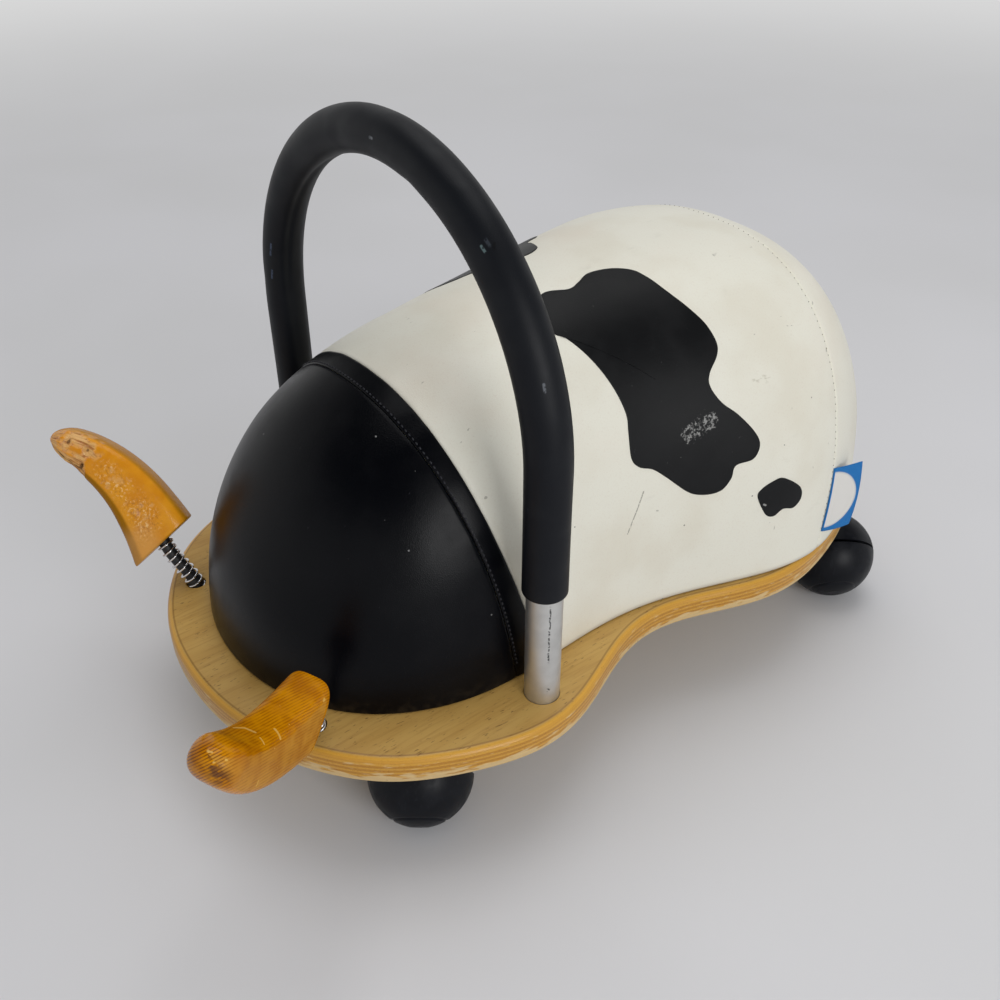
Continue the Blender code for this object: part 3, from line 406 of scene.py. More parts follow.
def plywood_finish():
    """Rotary cut birch: plies take turns along Z, with fine grain along Y, and worn low edges. The upper
    part of the rounded edge is painted lighter, a painted highlight, and a thin dark line where it meets
    the top is painted shade with some wear.
    """
    material, place = new_finish("varnished_plywood", Coat_Roughness=0.18, Specular_IOR_Level=0.25)
    z = place.part(2)
    down = DECK - z
    depth = down * (PLY_COUNT / (DECK - BOARD_LOW.z)) + (place.noise(0.02, 2.0, (1, 1, 3)) - 0.5) * 0.35
    ply = (depth * math.pi).math("SINE")
    glue = ply.math("ABSOLUTE").rise(0.30, 0.05)
    streak = place.noise(0.0016, 4.0, (1, 14, 1)).rise(0.45, 0.75)
    band = place.noise(0.012, 3.0, (1, 5, 1)).rise(0.35, 0.7)
    vessels = place.noise(0.0007, 1.0, (1, 6, 1)).rise(0.67, 0.72) * place.noise(0.012).rise(0.35, 0.55)
    top = (band * 0.5).mix((200, 162, 92), (180, 138, 68)).coats(
        (streak * 0.35, (156, 114, 54)),
        (vessels * 0.7, (100, 72, 36)))
    fleck = place.noise(0.0009, 2.0, (1, 1, 0.7)).rise(0.5, 0.8)
    light = fleck.mix((204, 152, 60), (184, 128, 40))
    dark = fleck.mix((184, 130, 46), (158, 104, 34))
    side = ply.rise(0.25, -0.35).mix(light, dark).coats(
        (glue * 0.35, (126, 82, 34)),
        # Painted highlight: the upper part of the rounded edge is painted lighter.
        (down.rise(0.0045, 0.0015) * 0.55, (216, 164, 66)))
    low = (z - BOARD_LOW.z).rise(0.0105, 0.0015)
    worn = (place.noise(0.0022, 4.0, (5, 5, 1)) + low * 0.36 - 0.08).rise(0.50, 0.64) * depth.rise(1.0, 3.0)
    scuffs = place.noise(0.0022, 3.0, (2, 2, 1)).rise(0.70, 0.76) * depth.rise(0.3, 1.0)
    colour = depth.rise(0.05, 0.5).mix(top, side).coats(
        # Painted shade, with some wear: a thin dark line where the flat top turns into the rounding.
        (down.within(0.00003, 0.00020, 0.00003) * 0.5, (120, 80, 30)),
        (worn * 0.70, (218, 196, 150)),
        (scuffs * 0.5, (98, 72, 42)))
    roughness = worn * 0.25 + streak * 0.05 + 0.34
    relief = streak * -0.3 + vessels * -1.0 + glue * -0.4
    return vary(material, colour, roughness, relief, 0.00008, 0.16 - worn * 0.13)


def board():
    """The board's outline is x = its width series at y = its half length times a cosine."""
    theta = np.linspace(0, math.pi, 201)
    half = series(BOARD_HALF_WIDTHS, theta)
    half[[0, -1]] = 0
    right = np.column_stack([half, length_at(BOARD_LOW.y, BOARD_HIGH.y, theta)])
    outline = np.concatenate([right, (right * [-1, 1])[-2:0:-1]])
    mesh = slab("plywood_board", outline, BOARD_LOW.z, BOARD_HIGH.z, BOARD_ROUND, steps=8)
    x, y, _ = LEG_PLACE
    bores = []
    for side, sign in (("left", 1), ("right", -1)):
        bores.append(((sign * x, y, BOARD_LOW.z - 0.001), (sign * x, y, DECK + 0.001), TUBE_R + PLAY))
        foot, reach = STEM_FEET[side], STEM_LEANS[side] * SOCKET_DEPTH
        bores.append((foot - reach, foot + reach, SPRING_R + SOCKET_PLAY))
    put_on("plywood_board", carved(mesh, bores), plywood_finish(), "cow", ["base_board"])


board()


# The casters: four twin-shell ball casters. Each has a zinc plated plate with its kingpin under
# the board, a black nylon hood that swivels on it, and a domed wheel on a slanted steel axle.
BALL_R = 0.0295
AXLE_R = 0.0020
AXLE_BACK = 0.0132
AXLE_FRONT = 0.0137
WHEEL_BACK = 0.0005
HOOD_FRONT = -0.0010
HOOD_WALL = 0.0025
HUB_R = 0.0070
BOSS_R = 0.0080
KINGPIN_R = 0.0040
RING_GROOVE_R = 0.0150
RING_GROOVE_T = 0.0006
DIMPLE_R = 0.0042
DIMPLE_T = 0.0005
WHEEL_EASE = 0.0003
CASTER_NAMES = ("front_left", "front_right", "rear_left", "rear_right")
JOINTS = {joint["name"]: joint for joint in frame["joints"]}


def circle(sides):
    """The angles of points at equal steps round a circle."""
    return np.arange(sides) * 2 * math.pi / sides


def spin(first, second, angle):
    """Directions turned by angles from a first one towards a second one."""
    return np.cos(angle)[..., None] * first + np.sin(angle)[..., None] * second


def bulge(away, reach, power=2):
    """1 where a distance is 0, falling off to nothing past its reach, faster with a higher power."""
    return np.exp(-(away / reach) ** power)


def grid_mesh(name, grid, wrap=True, closed=True, **marks):
    """A mesh over rows and columns of points, each row running round where it wraps."""
    return new_mesh(name, grid, quads(*grid.shape[:2], wrap), closed, **marks)


def turned(name, profile, place, axis, sides=96):
    """A turned solid: each point of its profile is carried round an axis at its own radius."""
    profile = np.asarray(profile)[:, :, None, None]
    points = profile[:, 0] * spin([1, 0, 0], [0, 1, 0], circle(sides)) + profile[:, 1] * [0, 0, 1]
    turn = np.array(Vector(axis).to_track_quat("Z", "Y").to_matrix())
    return grid_mesh(name, points @ turn.T + np.array(place))


def rounded(profile, radius):
    """A profile whose inner corners are cut back and bridged by quadratic curves."""
    line = [profile[0]]
    t = np.linspace(0, 1, 5)[:, None]
    for before, corner, after in zip(profile, profile[1:], profile[2:]):
        back, on = np.subtract(before, corner), np.subtract(after, corner)
        reach = min(radius, np.linalg.norm(back) / 2.1, np.linalg.norm(on) / 2.1)
        line.extend(map(tuple, corner + reach * ((1 - t) ** 2 * unit(back) + t ** 2 * unit(on))))
    return line + [profile[-1]]


def caster_finish():
    """Black nylon with a blue cast, dulled by fine scuffs from the floor."""
    material, place = new_finish("caster_nylon", Specular_IOR_Level=0.16)
    scuff = place.noise(0.0015, 4.0, (1, 1, 5)).rise(0.55, 0.8)
    dust = place.noise(0.008, 3.0).rise(0.45, 0.7)
    colour = (dust * 0.5).mix((11, 13, 19), (22, 24, 30)).coats((scuff * 0.25, (54, 57, 62)))
    relief = scuff * -0.5 + place.noise(0.0006, 2.0)
    return vary(material, colour, dust * 0.15 + scuff * 0.2 + 0.38, relief, 0.00003)


def zinc_finish():
    """Zinc plated steel: grey with a faint spangle and dull streaks."""
    material, place = new_finish("zinc_plate", Metallic=1.0)
    colour = place.cells(0.002, "F1").rise(0.1, 0.7).mix((188, 190, 192), (160, 162, 166))
    return vary(material, colour, place.noise(0.004, 3.0) * 0.25 + 0.25, place.noise(0.0008, 2.0), 0.00002)


ZINC = zinc_finish()


def caster(name, nylon):
    """One caster: the wheel's dome is a sphere cut at its back, the hood the other half hollowed."""
    swivel, axle = JOINTS[f"caster_{name}_swivel"], JOINTS[f"caster_{name}_roll"]
    ball, axis = Vector(axle["pos_m"]), Vector(axle["axis"])
    angle = np.linspace(0, math.radians(88.5), 70)
    ring = BALL_R * (angle - math.asin(RING_GROOVE_R / BALL_R))
    radius = BALL_R - RING_GROOVE_T * bulge(ring, 0.0007, 4) - DIMPLE_T * bulge(BALL_R * angle, DIMPLE_R, 6)
    dome = list(zip(radius * np.sin(angle), radius * np.cos(angle)))
    bore, bore_end = AXLE_R + PLAY, AXLE_FRONT + PLAY
    back = [dome[-1], (BALL_R - WHEEL_EASE, WHEEL_BACK), (bore, WHEEL_BACK), (bore, bore_end)]
    profile = dome + rounded(back, WHEEL_EASE)[1:] + [(0, bore_end)]
    put_on(f"ball_wheel_{name}", turned(f"wheel_{name}", profile, ball, axis), nylon,
           f"caster_{name}_wheel", [f"caster_{name}_wheel"])

    inner = BALL_R - HOOD_WALL
    shell = [(inner * math.sin(a), -inner * math.cos(a)) for a in np.radians(np.linspace(17, 86, 16))]
    cap = [(BALL_R * math.sin(a), -BALL_R * math.cos(a)) for a in np.radians(np.linspace(88, 0, 48))]
    bore_end = -AXLE_BACK - PLAY
    profile = [(0, bore_end), (bore, bore_end), (bore, HOOD_FRONT), (HUB_R, HOOD_FRONT),
               (HUB_R, -AXLE_BACK * 1.5), *shell, (inner, HOOD_FRONT), (cap[0][0], HOOD_FRONT), *cap[1:]]
    x, y, _ = swivel["pos_m"]
    low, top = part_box(f"caster_{name}_plate")[0].z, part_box(f"caster_{name}_hood")[1].z
    hood = turned(f"hood_{name}", profile, ball, axis)
    hood = carved(hood, [((x, y, low - 0.002), (x, y, top), BOSS_R)], "UNION")
    hood = carved(hood, [((x, y, low - 0.0004), (x, y, top + 0.001), KINGPIN_R + 0.0004)])
    put_on(f"ball_hood_{name}", hood, nylon, f"caster_{name}_swivel",
           [f"caster_{name}_hood"], crease=30)
    for part in ("plate", "axle"):
        finish(frame["nodes"][f"caster_{name}_{part}"].data, ZINC)


def casters():
    """Four casters of one nylon."""
    nylon = caster_finish()
    for name in CASTER_NAMES:
        caster(name, nylon)


casters()


# The screws: zinc plated wood screws hold each caster's plate and the cow's body from below, and
# a wide headed one goes up into the plug in each foot of the handle.
SCREW_R = 0.0017
RECESS_REACH = 0.0019
RECESS_HALF_WIDTH = 0.00035
RECESS_DEPTH = 0.0007
RECESS_RINGS = 7
PLATE_SCREW_HEAD = (0.0038, 0.0012)
CORE_SCREW_HEAD = (0.0038, 0.0018)
FOOT_SCREW_HEAD = (0.0110, 0.0020)


def screw(name, node, head_r, head_t):
    """A turned screw whose head is pressed in where the angle lies near a cross, at its middle."""
    low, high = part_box(node)
    middle, length = (low + high) / 2, high.z - low.z
    radii = np.append(np.linspace(0, RECESS_REACH, RECESS_RINGS), head_r * np.array([0.75, 0.93, 1, 1]))
    heights = np.append(np.zeros(RECESS_RINGS), head_t * np.array([0, 0.25, 0.6, 1.0]))
    shank = [(SCREW_R, head_t), (SCREW_R, length - 2 * SCREW_R), (0, length)]
    profile = np.concatenate([np.column_stack([radii, heights]), shank])
    x, y = profile[:, :1] * np.cos(circle(32)), profile[:, :1] * np.sin(circle(32))
    in_cross = np.minimum(np.abs(x), np.abs(y)) < RECESS_HALF_WIDTH
    on_head = (profile[:, :1] < RECESS_REACH * 0.95) & (np.arange(len(profile))[:, None] < RECESS_RINGS)
    z = profile[:, 1:] + np.where(in_cross & on_head, min(RECESS_DEPTH, head_t * 0.7), 0)
    points = np.stack([x + middle.x, y + middle.y, z + low.z], axis=-1)
    put_on(name, grid_mesh(name, points), ZINC, "cow", [node], crease=30)


def screws():
    """Sixteen for the casters, four for the body and two for the handle."""
    for name in CASTER_NAMES:
        for number in range(1, 5):
            screw(f"plate_screw_{name}_{number}", f"caster_{name}_screw_{number}", *PLATE_SCREW_HEAD)
    for number in range(1, 5):
        screw(f"core_screw_{number}", f"body_screw_{number}", *CORE_SCREW_HEAD)
    for side in ("left", "right"):
        screw(f"foot_screw_{side}", f"handle_screw_{side}", *FOOT_SCREW_HEAD)


screws()


# The cover: head panel and band of black, body and rear of off-white leathercloth, sewn together
# and drawn tight over the foam, which stands on a bare plywood panel inside the hem.
COVER_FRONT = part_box("head_cover")[0].y
COVER_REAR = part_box("rear_cover")[1].y
EDGE_SET = 0.0005
HEAD_HALF_WIDTHS = (0.0551, 0.0941, 0.1094, 0.1062, 0.1206)
COVER_HEIGHTS = (0.0625, 0.1177, 0.1509, 0.1674, 0.1758, 0.1756, 0.1591, 0.1014)
ARCH_POWERS = (2.15, 2.51)
COVER_LIFT = 0.0005
COVER_T = 0.0012
STITCH_SEAM = (-0.0042, -0.0198, -0.0060)
BAND_SEAM = (0.0144, -0.0425, 0.0090)
REAR_SEAM = (0.2148, 0.0325, -0.0106)
HEAD_EDGE = (STITCH_SEAM, 0.0020, 0.0011)
BAND_EDGES = ((STITCH_SEAM, 0.0014, 0.0006), (BAND_SEAM, 0.0012, 0.0008))
BODY_EDGES = ((BAND_SEAM, 0.0030, 0.0013), (REAR_SEAM, 0.0022, 0.0011))
SWELL_ROWS = 84
SWELL_COLUMNS = 72
SWELL_PRESSURE = 5.0
SWELL_CAP = 0.0016
SWELL_SET = 0.0008
HEM_ROUND = 0.0025
HEM_TUCK = 0.0006
SWELL_MARGIN = 0.03
SWELL_FRAMES = 20
PUCKER_SIZE = 0.011
PUCKER_REACH = 0.008
PUCKER_T = 0.00035
WAVE_SIZE = 0.030
WAVE_T = 0.00030
DENTS = ((0.040, 64, 0.022, 60, 0.0009), (0.056, 56, 0.020, 40, 0.0006), (0.030, 78, 0.018, 70, 0.0006),
         (0.028, 42, 0.020, 80, 0.0007), (0.036, 110, 0.022, -60, 0.0008), (0.185, 34, 0.022, 20, 0.0006))
FLANK_SHARES = (0.15, 1, 1)
PEN_MARKS = (
    ((0.1008, 0.0249, 0.1588), (0.1034, 0.0126, 0.1372), 0.0006),
    ((0.1052, 0.0322, 0.1451), (0.1052, 0.0330, 0.1449), 0.0007),
    ((0.0465, 0.1244, 0.2522), (0.0465, 0.1296, 0.2526), 0.0006),
    ((0.1053, 0.1642, 0.2020), (0.1053, 0.1652, 0.2034), 0.0009),
    ((0.0858, 0.1706, 0.2235), (0.0858, 0.1718, 0.2239), 0.0007))
SMEAR = ((0.1056, 0.1024, 0.2047), (0.1056, 0.1104, 0.2027), 0.0030)


def cover_half_widths():
    """The cover's half widths: its own at the head, flush with the board's edge at the rear."""
    steps = len(COVER_HEIGHTS) + 1
    stations = np.arange(len(HEAD_HALF_WIDTHS) + 1, steps) * math.pi / steps
    y = length_at(COVER_FRONT, COVER_REAR, stations)
    flush = series(BOARD_HALF_WIDTHS, theta_at(BOARD_LOW.y, BOARD_HIGH.y, y)) - EDGE_SET
    return (*HEAD_HALF_WIDTHS, *flush)


COVER_HALF_WIDTHS = cover_half_widths()


def between(ends, share):
    """The value at a share of the way from one end to the other."""
    return ends[0] + (ends[1] - ends[0]) * share


def arch_power(y):
    """The power of an arch's sine and cosine at a place along the cover."""
    return 2 / between(ARCH_POWERS, (y - COVER_FRONT) / (COVER_REAR - COVER_FRONT))


def arches(theta, phi):
    """The cover's plain form: across, its half width times a power of phi's cosine, and up, its
    height times the same power of phi's sine, phi running from the left foot over the crown."""
    y = length_at(COVER_FRONT, COVER_REAR, theta)
    power = arch_power(y)
    x = series(COVER_HALF_WIDTHS, theta) * np.sign(np.cos(phi)) * np.abs(np.cos(phi)) ** power
    z = series(COVER_HEIGHTS, theta) * np.abs(np.sin(phi)) ** power
    return np.stack(np.broadcast_arrays(x, y, z + COVER_LIFT + DECK), axis=-1)


def arch_normals(theta, phi):
    """Unit normals of the plain form, from differences half a thousandth of a radian away."""
    step = 0.0005
    theta = np.clip(theta, 2 * step, math.pi - 2 * step)
    phi = np.clip(phi, 2 * step, math.pi - 2 * step)
    return unit(np.cross(arches(theta + step, phi) - arches(theta - step, phi),
                         arches(theta, phi + step) - arches(theta, phi - step)))


def seam_y(seam, phi):
    """Where a seam crosses the arch: its foot, a slant and a bow over the share of the height."""
    foot, slant, bow = seam
    foot = foot + LEG_PLACE.y
    share = np.abs(np.sin(phi)) ** arch_power(foot)
    return foot + slant * share + bow * share ** 2


def seam_theta(seam, phi, shift=0.0):
    """The cover's angles along a seam, or beside it by a shift."""
    return theta_at(COVER_FRONT, COVER_REAR, seam_y(seam, phi) + shift)


def lumps(points, size, seed):
    """Smooth random heights from -1 to 1: a lattice of random numbers, blended between."""
    lattice = np.random.default_rng(seed).uniform(-1, 1, (32, 32, 32))
    place = np.asarray(points) / size
    cell = np.floor(place).astype(int)
    t = place - cell
    t = t * t * (3 - 2 * t)
    total = np.zeros(place.shape[:-1])
    for corner in np.ndindex(2, 2, 2):
        index = (cell + corner) % 32
        weight = np.where(corner, t, 1 - t).prod(axis=-1)
        total = total + weight * lattice[index[..., 0], index[..., 1], index[..., 2]]
    return total


def pressed_out():
    """The foam's push on the cover: a cloth grid held at hem and seams swells under pressure.
    Gives how far each point of the grid moved along its normal."""
    theta = np.linspace(0, math.pi, SWELL_ROWS)[:, None].clip(SWELL_MARGIN, math.pi - SWELL_MARGIN)
    phi = np.linspace(0, math.pi, SWELL_COLUMNS)[None]
    rest = arches(theta, phi)
    held = np.zeros(rest.shape[:2], dtype=bool)
    held[[0, -1]] = True
    held[:, [0, -1]] = True
    for seam in (STITCH_SEAM, BAND_SEAM, REAR_SEAM):
        rows = np.round(seam_theta(seam, phi[0]) / math.pi * (SWELL_ROWS - 1))
        held[rows.astype(int), np.arange(SWELL_COLUMNS)] = True
    mesh = bpy.data.meshes.new("cloth")
    mesh.from_pydata(rest.reshape(-1, 3).tolist(), [], quads(SWELL_ROWS, SWELL_COLUMNS).tolist())
    sheet = add_object("cloth", mesh)
    sheet.vertex_groups.new(name="held").add(np.flatnonzero(held).tolist(), 1.0, "REPLACE")
    cloth = sheet.modifiers.new("cloth", "CLOTH")
    cloth.settings.vertex_group_mass = "held"
    cloth.settings.effector_weights.gravity = 0
    cloth.settings.use_pressure = True
    cloth.settings.uniform_pressure_force = SWELL_PRESSURE
    cloth.collision_settings.use_collision = False
    for step in range(1, SWELL_FRAMES + 1):
        SCENE.frame_set(step)
    shape = sheet.evaluated_get(bpy.context.evaluated_depsgraph_get()).to_mesh()
    moved = np.empty(rest.size, np.float32)
    shape.vertices.foreach_get("co", moved)
    SCENE.frame_set(1)
    bpy.data.objects.remove(sheet)
    swell = ((moved.reshape(rest.shape) - rest) * arch_normals(theta, phi)).sum(axis=-1)
    return SWELL_CAP * (1 - np.exp(-np.clip(swell, 0, None) / SWELL_CAP))


SWELL = pressed_out()
print("cover swells by", round(float(SWELL.max()) * 1000, 2), "mm")


def swell_at(theta, phi):
    """The swelling read from its grid, blended between the four nearest points."""
    theta, phi = np.broadcast_arrays(theta, phi)
    row = np.clip(theta / math.pi * (SWELL_ROWS - 1), 0, SWELL_ROWS - 1.001)
    column = np.clip(phi / math.pi * (SWELL_COLUMNS - 1), 0, SWELL_COLUMNS - 1.001)
    i, j = np.floor(row).astype(int), np.floor(column).astype(int)
    a, b = row - i, column - j
    a, b = a * a * (3 - 2 * a), b * b * (3 - 2 * b)
    near = SWELL[i, j] * (1 - b) + SWELL[i, j + 1] * b
    far = SWELL[i + 1, j] * (1 - b) + SWELL[i + 1, j + 1] * b
    return near * (1 - a) + far * a


def ramp(value, low, high):
    """0 up to the low value and 1 from the high one, straight in between."""
    return np.clip((value - low) / (high - low), 0, 1)


def roll(away, width, depth):
    """A sewn edge rolls down by a quarter circle over the last stretch before its seam."""
    return -depth * (1 - np.sqrt(1 - ramp(away, width, 0) ** 2))


def skin(theta, phi, seams=()):
    """The finished cover: its arches moved along their normals by the foam's swell, less a set,
    by rolled edges and puckers at its seams, shallow dents, and a rounded hem."""
    theta, phi = np.broadcast_arrays(np.asarray(theta, float), np.asarray(phi, float))
    base = arches(theta, phi)
    height = base[..., 2] - DECK - COVER_LIFT
    lift = swell_at(theta, phi) - SWELL_SET * ramp(height, 0, 0.020)
    for seam, width, depth in seams:
        away = np.abs(base[..., 1] - seam_y(seam, phi))
        beside = np.stack([phi * 0.16, away * 0.25, np.full_like(away, seam[0])], axis=-1)
        lift = lift + PUCKER_T * lumps(beside, PUCKER_SIZE, 3) * bulge(away, PUCKER_REACH, 1)
        lift = lift + roll(away, width, depth)
    for y, degrees, reach, turn, depth in DENTS:
        along = base[..., 1] - (LEG_PLACE.y + y)
        across = (phi - math.radians(degrees)) * 0.15
        c, s = math.cos(math.radians(turn)), math.sin(math.radians(turn))
        dent = bulge(along * c + across * s, reach) * bulge(across * c - along * s, reach * 0.45)
        lift = lift - depth * dent
    lift = lift + WAVE_T * lumps(base, WAVE_SIZE, 8) + roll(height, HEM_ROUND, HEM_TUCK)
    return base + lift[..., None] * arch_normals(theta, phi)


def crowded(count):
    """Shares from 0 to 1 that crowd together towards both ends."""
    t = np.linspace(0, 1, count)
    return t - 0.9 * np.sin(2 * math.pi * t) / (2 * math.pi)


def thicken(piece, thickness):
    """Gives a sheet its thickness, inwards."""
    solid = piece.modifiers.new("thickness", "SOLIDIFY")
    solid.thickness = thickness
    solid.offset = -1


def panel(name, front, rear, rows, columns, material, slot, stands_for):
    """One sewn panel from seam to seam, its grid closer at the seams and at the hem."""
    phi = math.pi * crowded(columns + 1)
    start = seam_theta(front[0], phi) if front else np.zeros_like(phi)
    end = seam_theta(rear[0], phi) if rear else np.full_like(phi, math.pi)
    share = (1 - np.cos(np.linspace(0, math.pi, rows + 1)))[:, None] / 2
    points = skin(between((start, end), share), phi[None], [seam for seam in (front, rear) if seam])
    mesh = grid_mesh(name, points, wrap=False, closed=False)
    piece = put_on(name, mesh, material, "cow", stands_for, crease=50)
    thicken(piece, COVER_T)


def leather_relief(place):
    """The press of the leathercloth: soft pebbles under a millimetre wide with finer creases."""
    return place.cells(0.0009).rise(0.0, 0.35) * 0.6 + place.noise(0.0005, 3.0) * 0.5


def black_leather():
    """Black leathercloth, rubbed a little paler on its crown, with a few white specks."""
    material, place = new_finish("black_leathercloth", Specular_IOR_Level=0.12)
    rub = place.noise(0.03, 4.0).rise(0.45, 0.75)
    speck = place.cells(0.009, "F1").rise(0.060, 0.045) * place.noise(0.012, 1.0).rise(0.58, 0.62)
    scratch = place.noise(0.0012, 2.0, (1, 6, 3)).rise(0.72, 0.78) * place.noise(0.02, 2.0).rise(0.55, 0.65)
    dust = (place.part(2) - DECK).rise(0.012, 0.001) * place.noise(0.006, 3.0).rise(0.4, 0.7)
    colour = (rub * 0.6).mix((3, 4, 8), (10, 11, 15)).coats(
        (scratch * 0.30, (70, 70, 76)),
        (speck * 0.5, (170, 170, 170)),
        (dust * 0.14, (96, 82, 62)))
    return vary(material, colour, rub * 0.10 + scratch * 0.2 + 0.29, leather_relief(place), 0.00004)


def white_leather():
    """Off-white leathercloth, faintly pink and grey with handling, with pen marks and scuffs."""
    material, place = new_finish("white_leathercloth", Specular_IOR_Level=0.4)
    up = place.part(2) - DECK
    fine = place.noise(0.0011, 4.0).rise(0.5, 0.8)
    smudge = place.noise(0.010, 4.0, (1, 2, 1)).rise(0.62, 0.78) * place.noise(0.03, 1.0).rise(0.5, 0.65)
    speck = place.cells(0.013, "F1").rise(0.050, 0.030) * place.noise(0.017, 1.0).rise(0.52, 0.57)
    scratch = place.noise(0.0016, 1.0, (1, 3, 9)).rise(0.74, 0.78) * place.noise(0.02, 2.0).rise(0.56, 0.62)
    worn_ink = place.noise(0.0012, 1.0).rise(0.3, 0.45) * 0.6
    ink = [(place.stroke(*mark, FLANK_SHARES) * worn_ink, (96, 88, 74)) for mark in PEN_MARKS]
    smear = place.stroke(*SMEAR, FLANK_SHARES) * place.noise(0.0022, 3.0, (1, 2, 1)).rise(0.5, 0.7)
    colour = place.noise(0.05, 3.0).rise(0.4, 0.7).mix((229, 227, 214), (223, 219, 204)).coats(
        (place.noise(0.07, 3.0).rise(0.5, 0.75) * up.rise(0.08, 0.15) * 0.22, (226, 210, 194)),
        (fine * 0.22, (206, 190, 172)),
        (smudge * 0.12, (150, 146, 130)),
        (speck * 0.75, (70, 66, 60)),
        (scratch * 0.5, (120, 112, 98)),
        *ink,
        (smear * 0.4, (150, 140, 112)),
        (up.rise(0.005, 0.0005) * 0.4, (130, 118, 98)))
    return vary(material, colour, smudge * 0.15 + fine * 0.05 + 0.42, leather_relief(place), 0.00004)


def cover():
    """Four panels. The band's rear edge laps over the body, so the body dips deeper under it."""
    black, white = black_leather(), white_leather()
    panel("head_panel", None, HEAD_EDGE, 110, 180, black, "black_leather", ["head_cover"])
    panel("band_panel", *BAND_EDGES, 18, 180, black, "black_leather", ["head_band"])
    panel("body_panel", *BODY_EDGES, 150, 190, white, "white_leather", ["body_cover"])
    panel("rear_panel", BODY_EDGES[1], None, 110, 180, white, "white_leather", ["rear_cover"])


cover()


# The stitching: a row of black top stitches holds the band's fold down, and the rear seam shows
# a row of small sunk thread bars on its body side.
BAND_STITCH = (0.0030, 0.0022, 0.00050)
REAR_STITCH = (0.0042, 0.0010, 0.00024)
BAND_STITCH_SHIFT = 0.0012
REAR_STITCH_SHIFT = -0.0018
BEAD_RINGS = 7
BEAD_SIDES = 6


def run_lengths(points):
    """How far along a line each of its points is."""
    steps = np.linalg.norm(np.diff(points, axis=0), axis=1)
    return np.concatenate([[0], np.cumsum(steps)])


def read_line(line, length, place):
    """Points of a line at given lengths from its start."""
    return np.stack([np.interp(place, length, line[:, axis]) for axis in range(3)], axis=-1)


def seam_line(seam, shift, edges):
    """Points and normals along the cover beside a seam, from foot to foot."""
    phi = np.linspace(math.radians(2.5), math.radians(177.5), 600)
    theta = seam_theta(seam, phi, shift)
    return skin(theta, phi, edges), arch_normals(theta, phi)


def stitches(name, line, pitch, length, radius, material, slot):
    """Beads along a line: each is an oblong whose radius is that of an ellipse, and whose middle
    stands a little proud while its ends go into the cover."""
    points, normals = line
    place = run_lengths(points)
    middles = np.arange(pitch / 2, place[-1] - length / 2, pitch)
    t = np.linspace(-1, 1, BEAD_RINGS)
    spots = middles[:, None] + t * length / 2
    centre, up = read_line(points, place, spots), read_line(normals, place, spots)
    side = np.cross(unit(np.gradient(centre, axis=1)), up)
    centre = centre + up * (radius * (0.5 - t ** 2))[:, None]
    ring = spin(up[:, :, None], side[:, :, None], circle(BEAD_SIDES))
    beads = radius * np.sqrt(1 - t ** 2)[:, None, None] * ring
    first = np.arange(len(middles))[:, None, None] * BEAD_RINGS * BEAD_SIDES
    faces = (quads(BEAD_RINGS, BEAD_SIDES, wrap=True) + first).reshape(-1, 4)
    put_on(name, new_mesh(name, centre[:, :, None] + beads, faces), material, "cow", crease=60)


def thread_finish(name, dark, light):
    """Twisted polyester thread: a fine dark and light ripple."""
    material, place = new_finish(name, Roughness=0.6)
    return vary(material, place.noise(0.0004, 2.0).rise(0.35, 0.65).mix(dark, light))


def sewing():
    """The two rows of stitches."""
    black = thread_finish("black_thread", (9, 10, 15), (30, 32, 42))
    line = seam_line(STITCH_SEAM, BAND_STITCH_SHIFT, BAND_EDGES)
    stitches("band_stitches", line, *BAND_STITCH, black, "black_leather")
    pale = thread_finish("grey_thread", (92, 86, 72), (140, 132, 114))
    line = seam_line(REAR_SEAM, REAR_STITCH_SHIFT, BODY_EDGES)
    stitches("rear_stitches", line, *REAR_STITCH, pale, "white_leather")


sewing()


# The foam block under the cover, cut flat where it is glued to its plywood panel, which stays
# as the frame has it.
FOAM_DEPTH = 0.0045


def foam_block():
    """The plain arches moved inwards along their normals, with every point above the panel."""
    theta = np.linspace(0.04, math.pi - 0.04, 60)[:, None]
    phi = np.linspace(0.0, math.pi, 64)[None]
    points = arches(theta, phi) - FOAM_DEPTH * arch_normals(theta, phi)
    points[..., 2] = np.maximum(points[..., 2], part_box("foam_core")[0].z)
    front, rear = (np.tile(points[end].mean(axis=0), (1, phi.size, 1)) for end in (0, -1))
    material, place = new_finish("upholstery_foam", Roughness=0.9)
    pores = place.cells(0.0012, "F1").rise(0.15, 0.5)
    # The pores are painted darker where the bump sinks them: painted shade in the pores.
    vary(material, pores.mix((196, 178, 120), (226, 212, 160)), None, pores, 0.0003)
    mesh = grid_mesh("foam_block", np.concatenate([front, points, rear]))
    put_on("foam_block", mesh, material, "cow", ["foam_core"])


def core_board():
    """The panel's bare birch."""
    material, place = new_finish("bare_birch", Roughness=0.75)
    grain = place.noise(0.002, 4.0, (1, 12, 1)).rise(0.4, 0.7)
    vary(material, grain.mix((206, 180, 136), (178, 148, 104)), None, grain, 0.0001)
    finish(frame["nodes"]["core_panel"].data, material)


foam_block()
core_board()


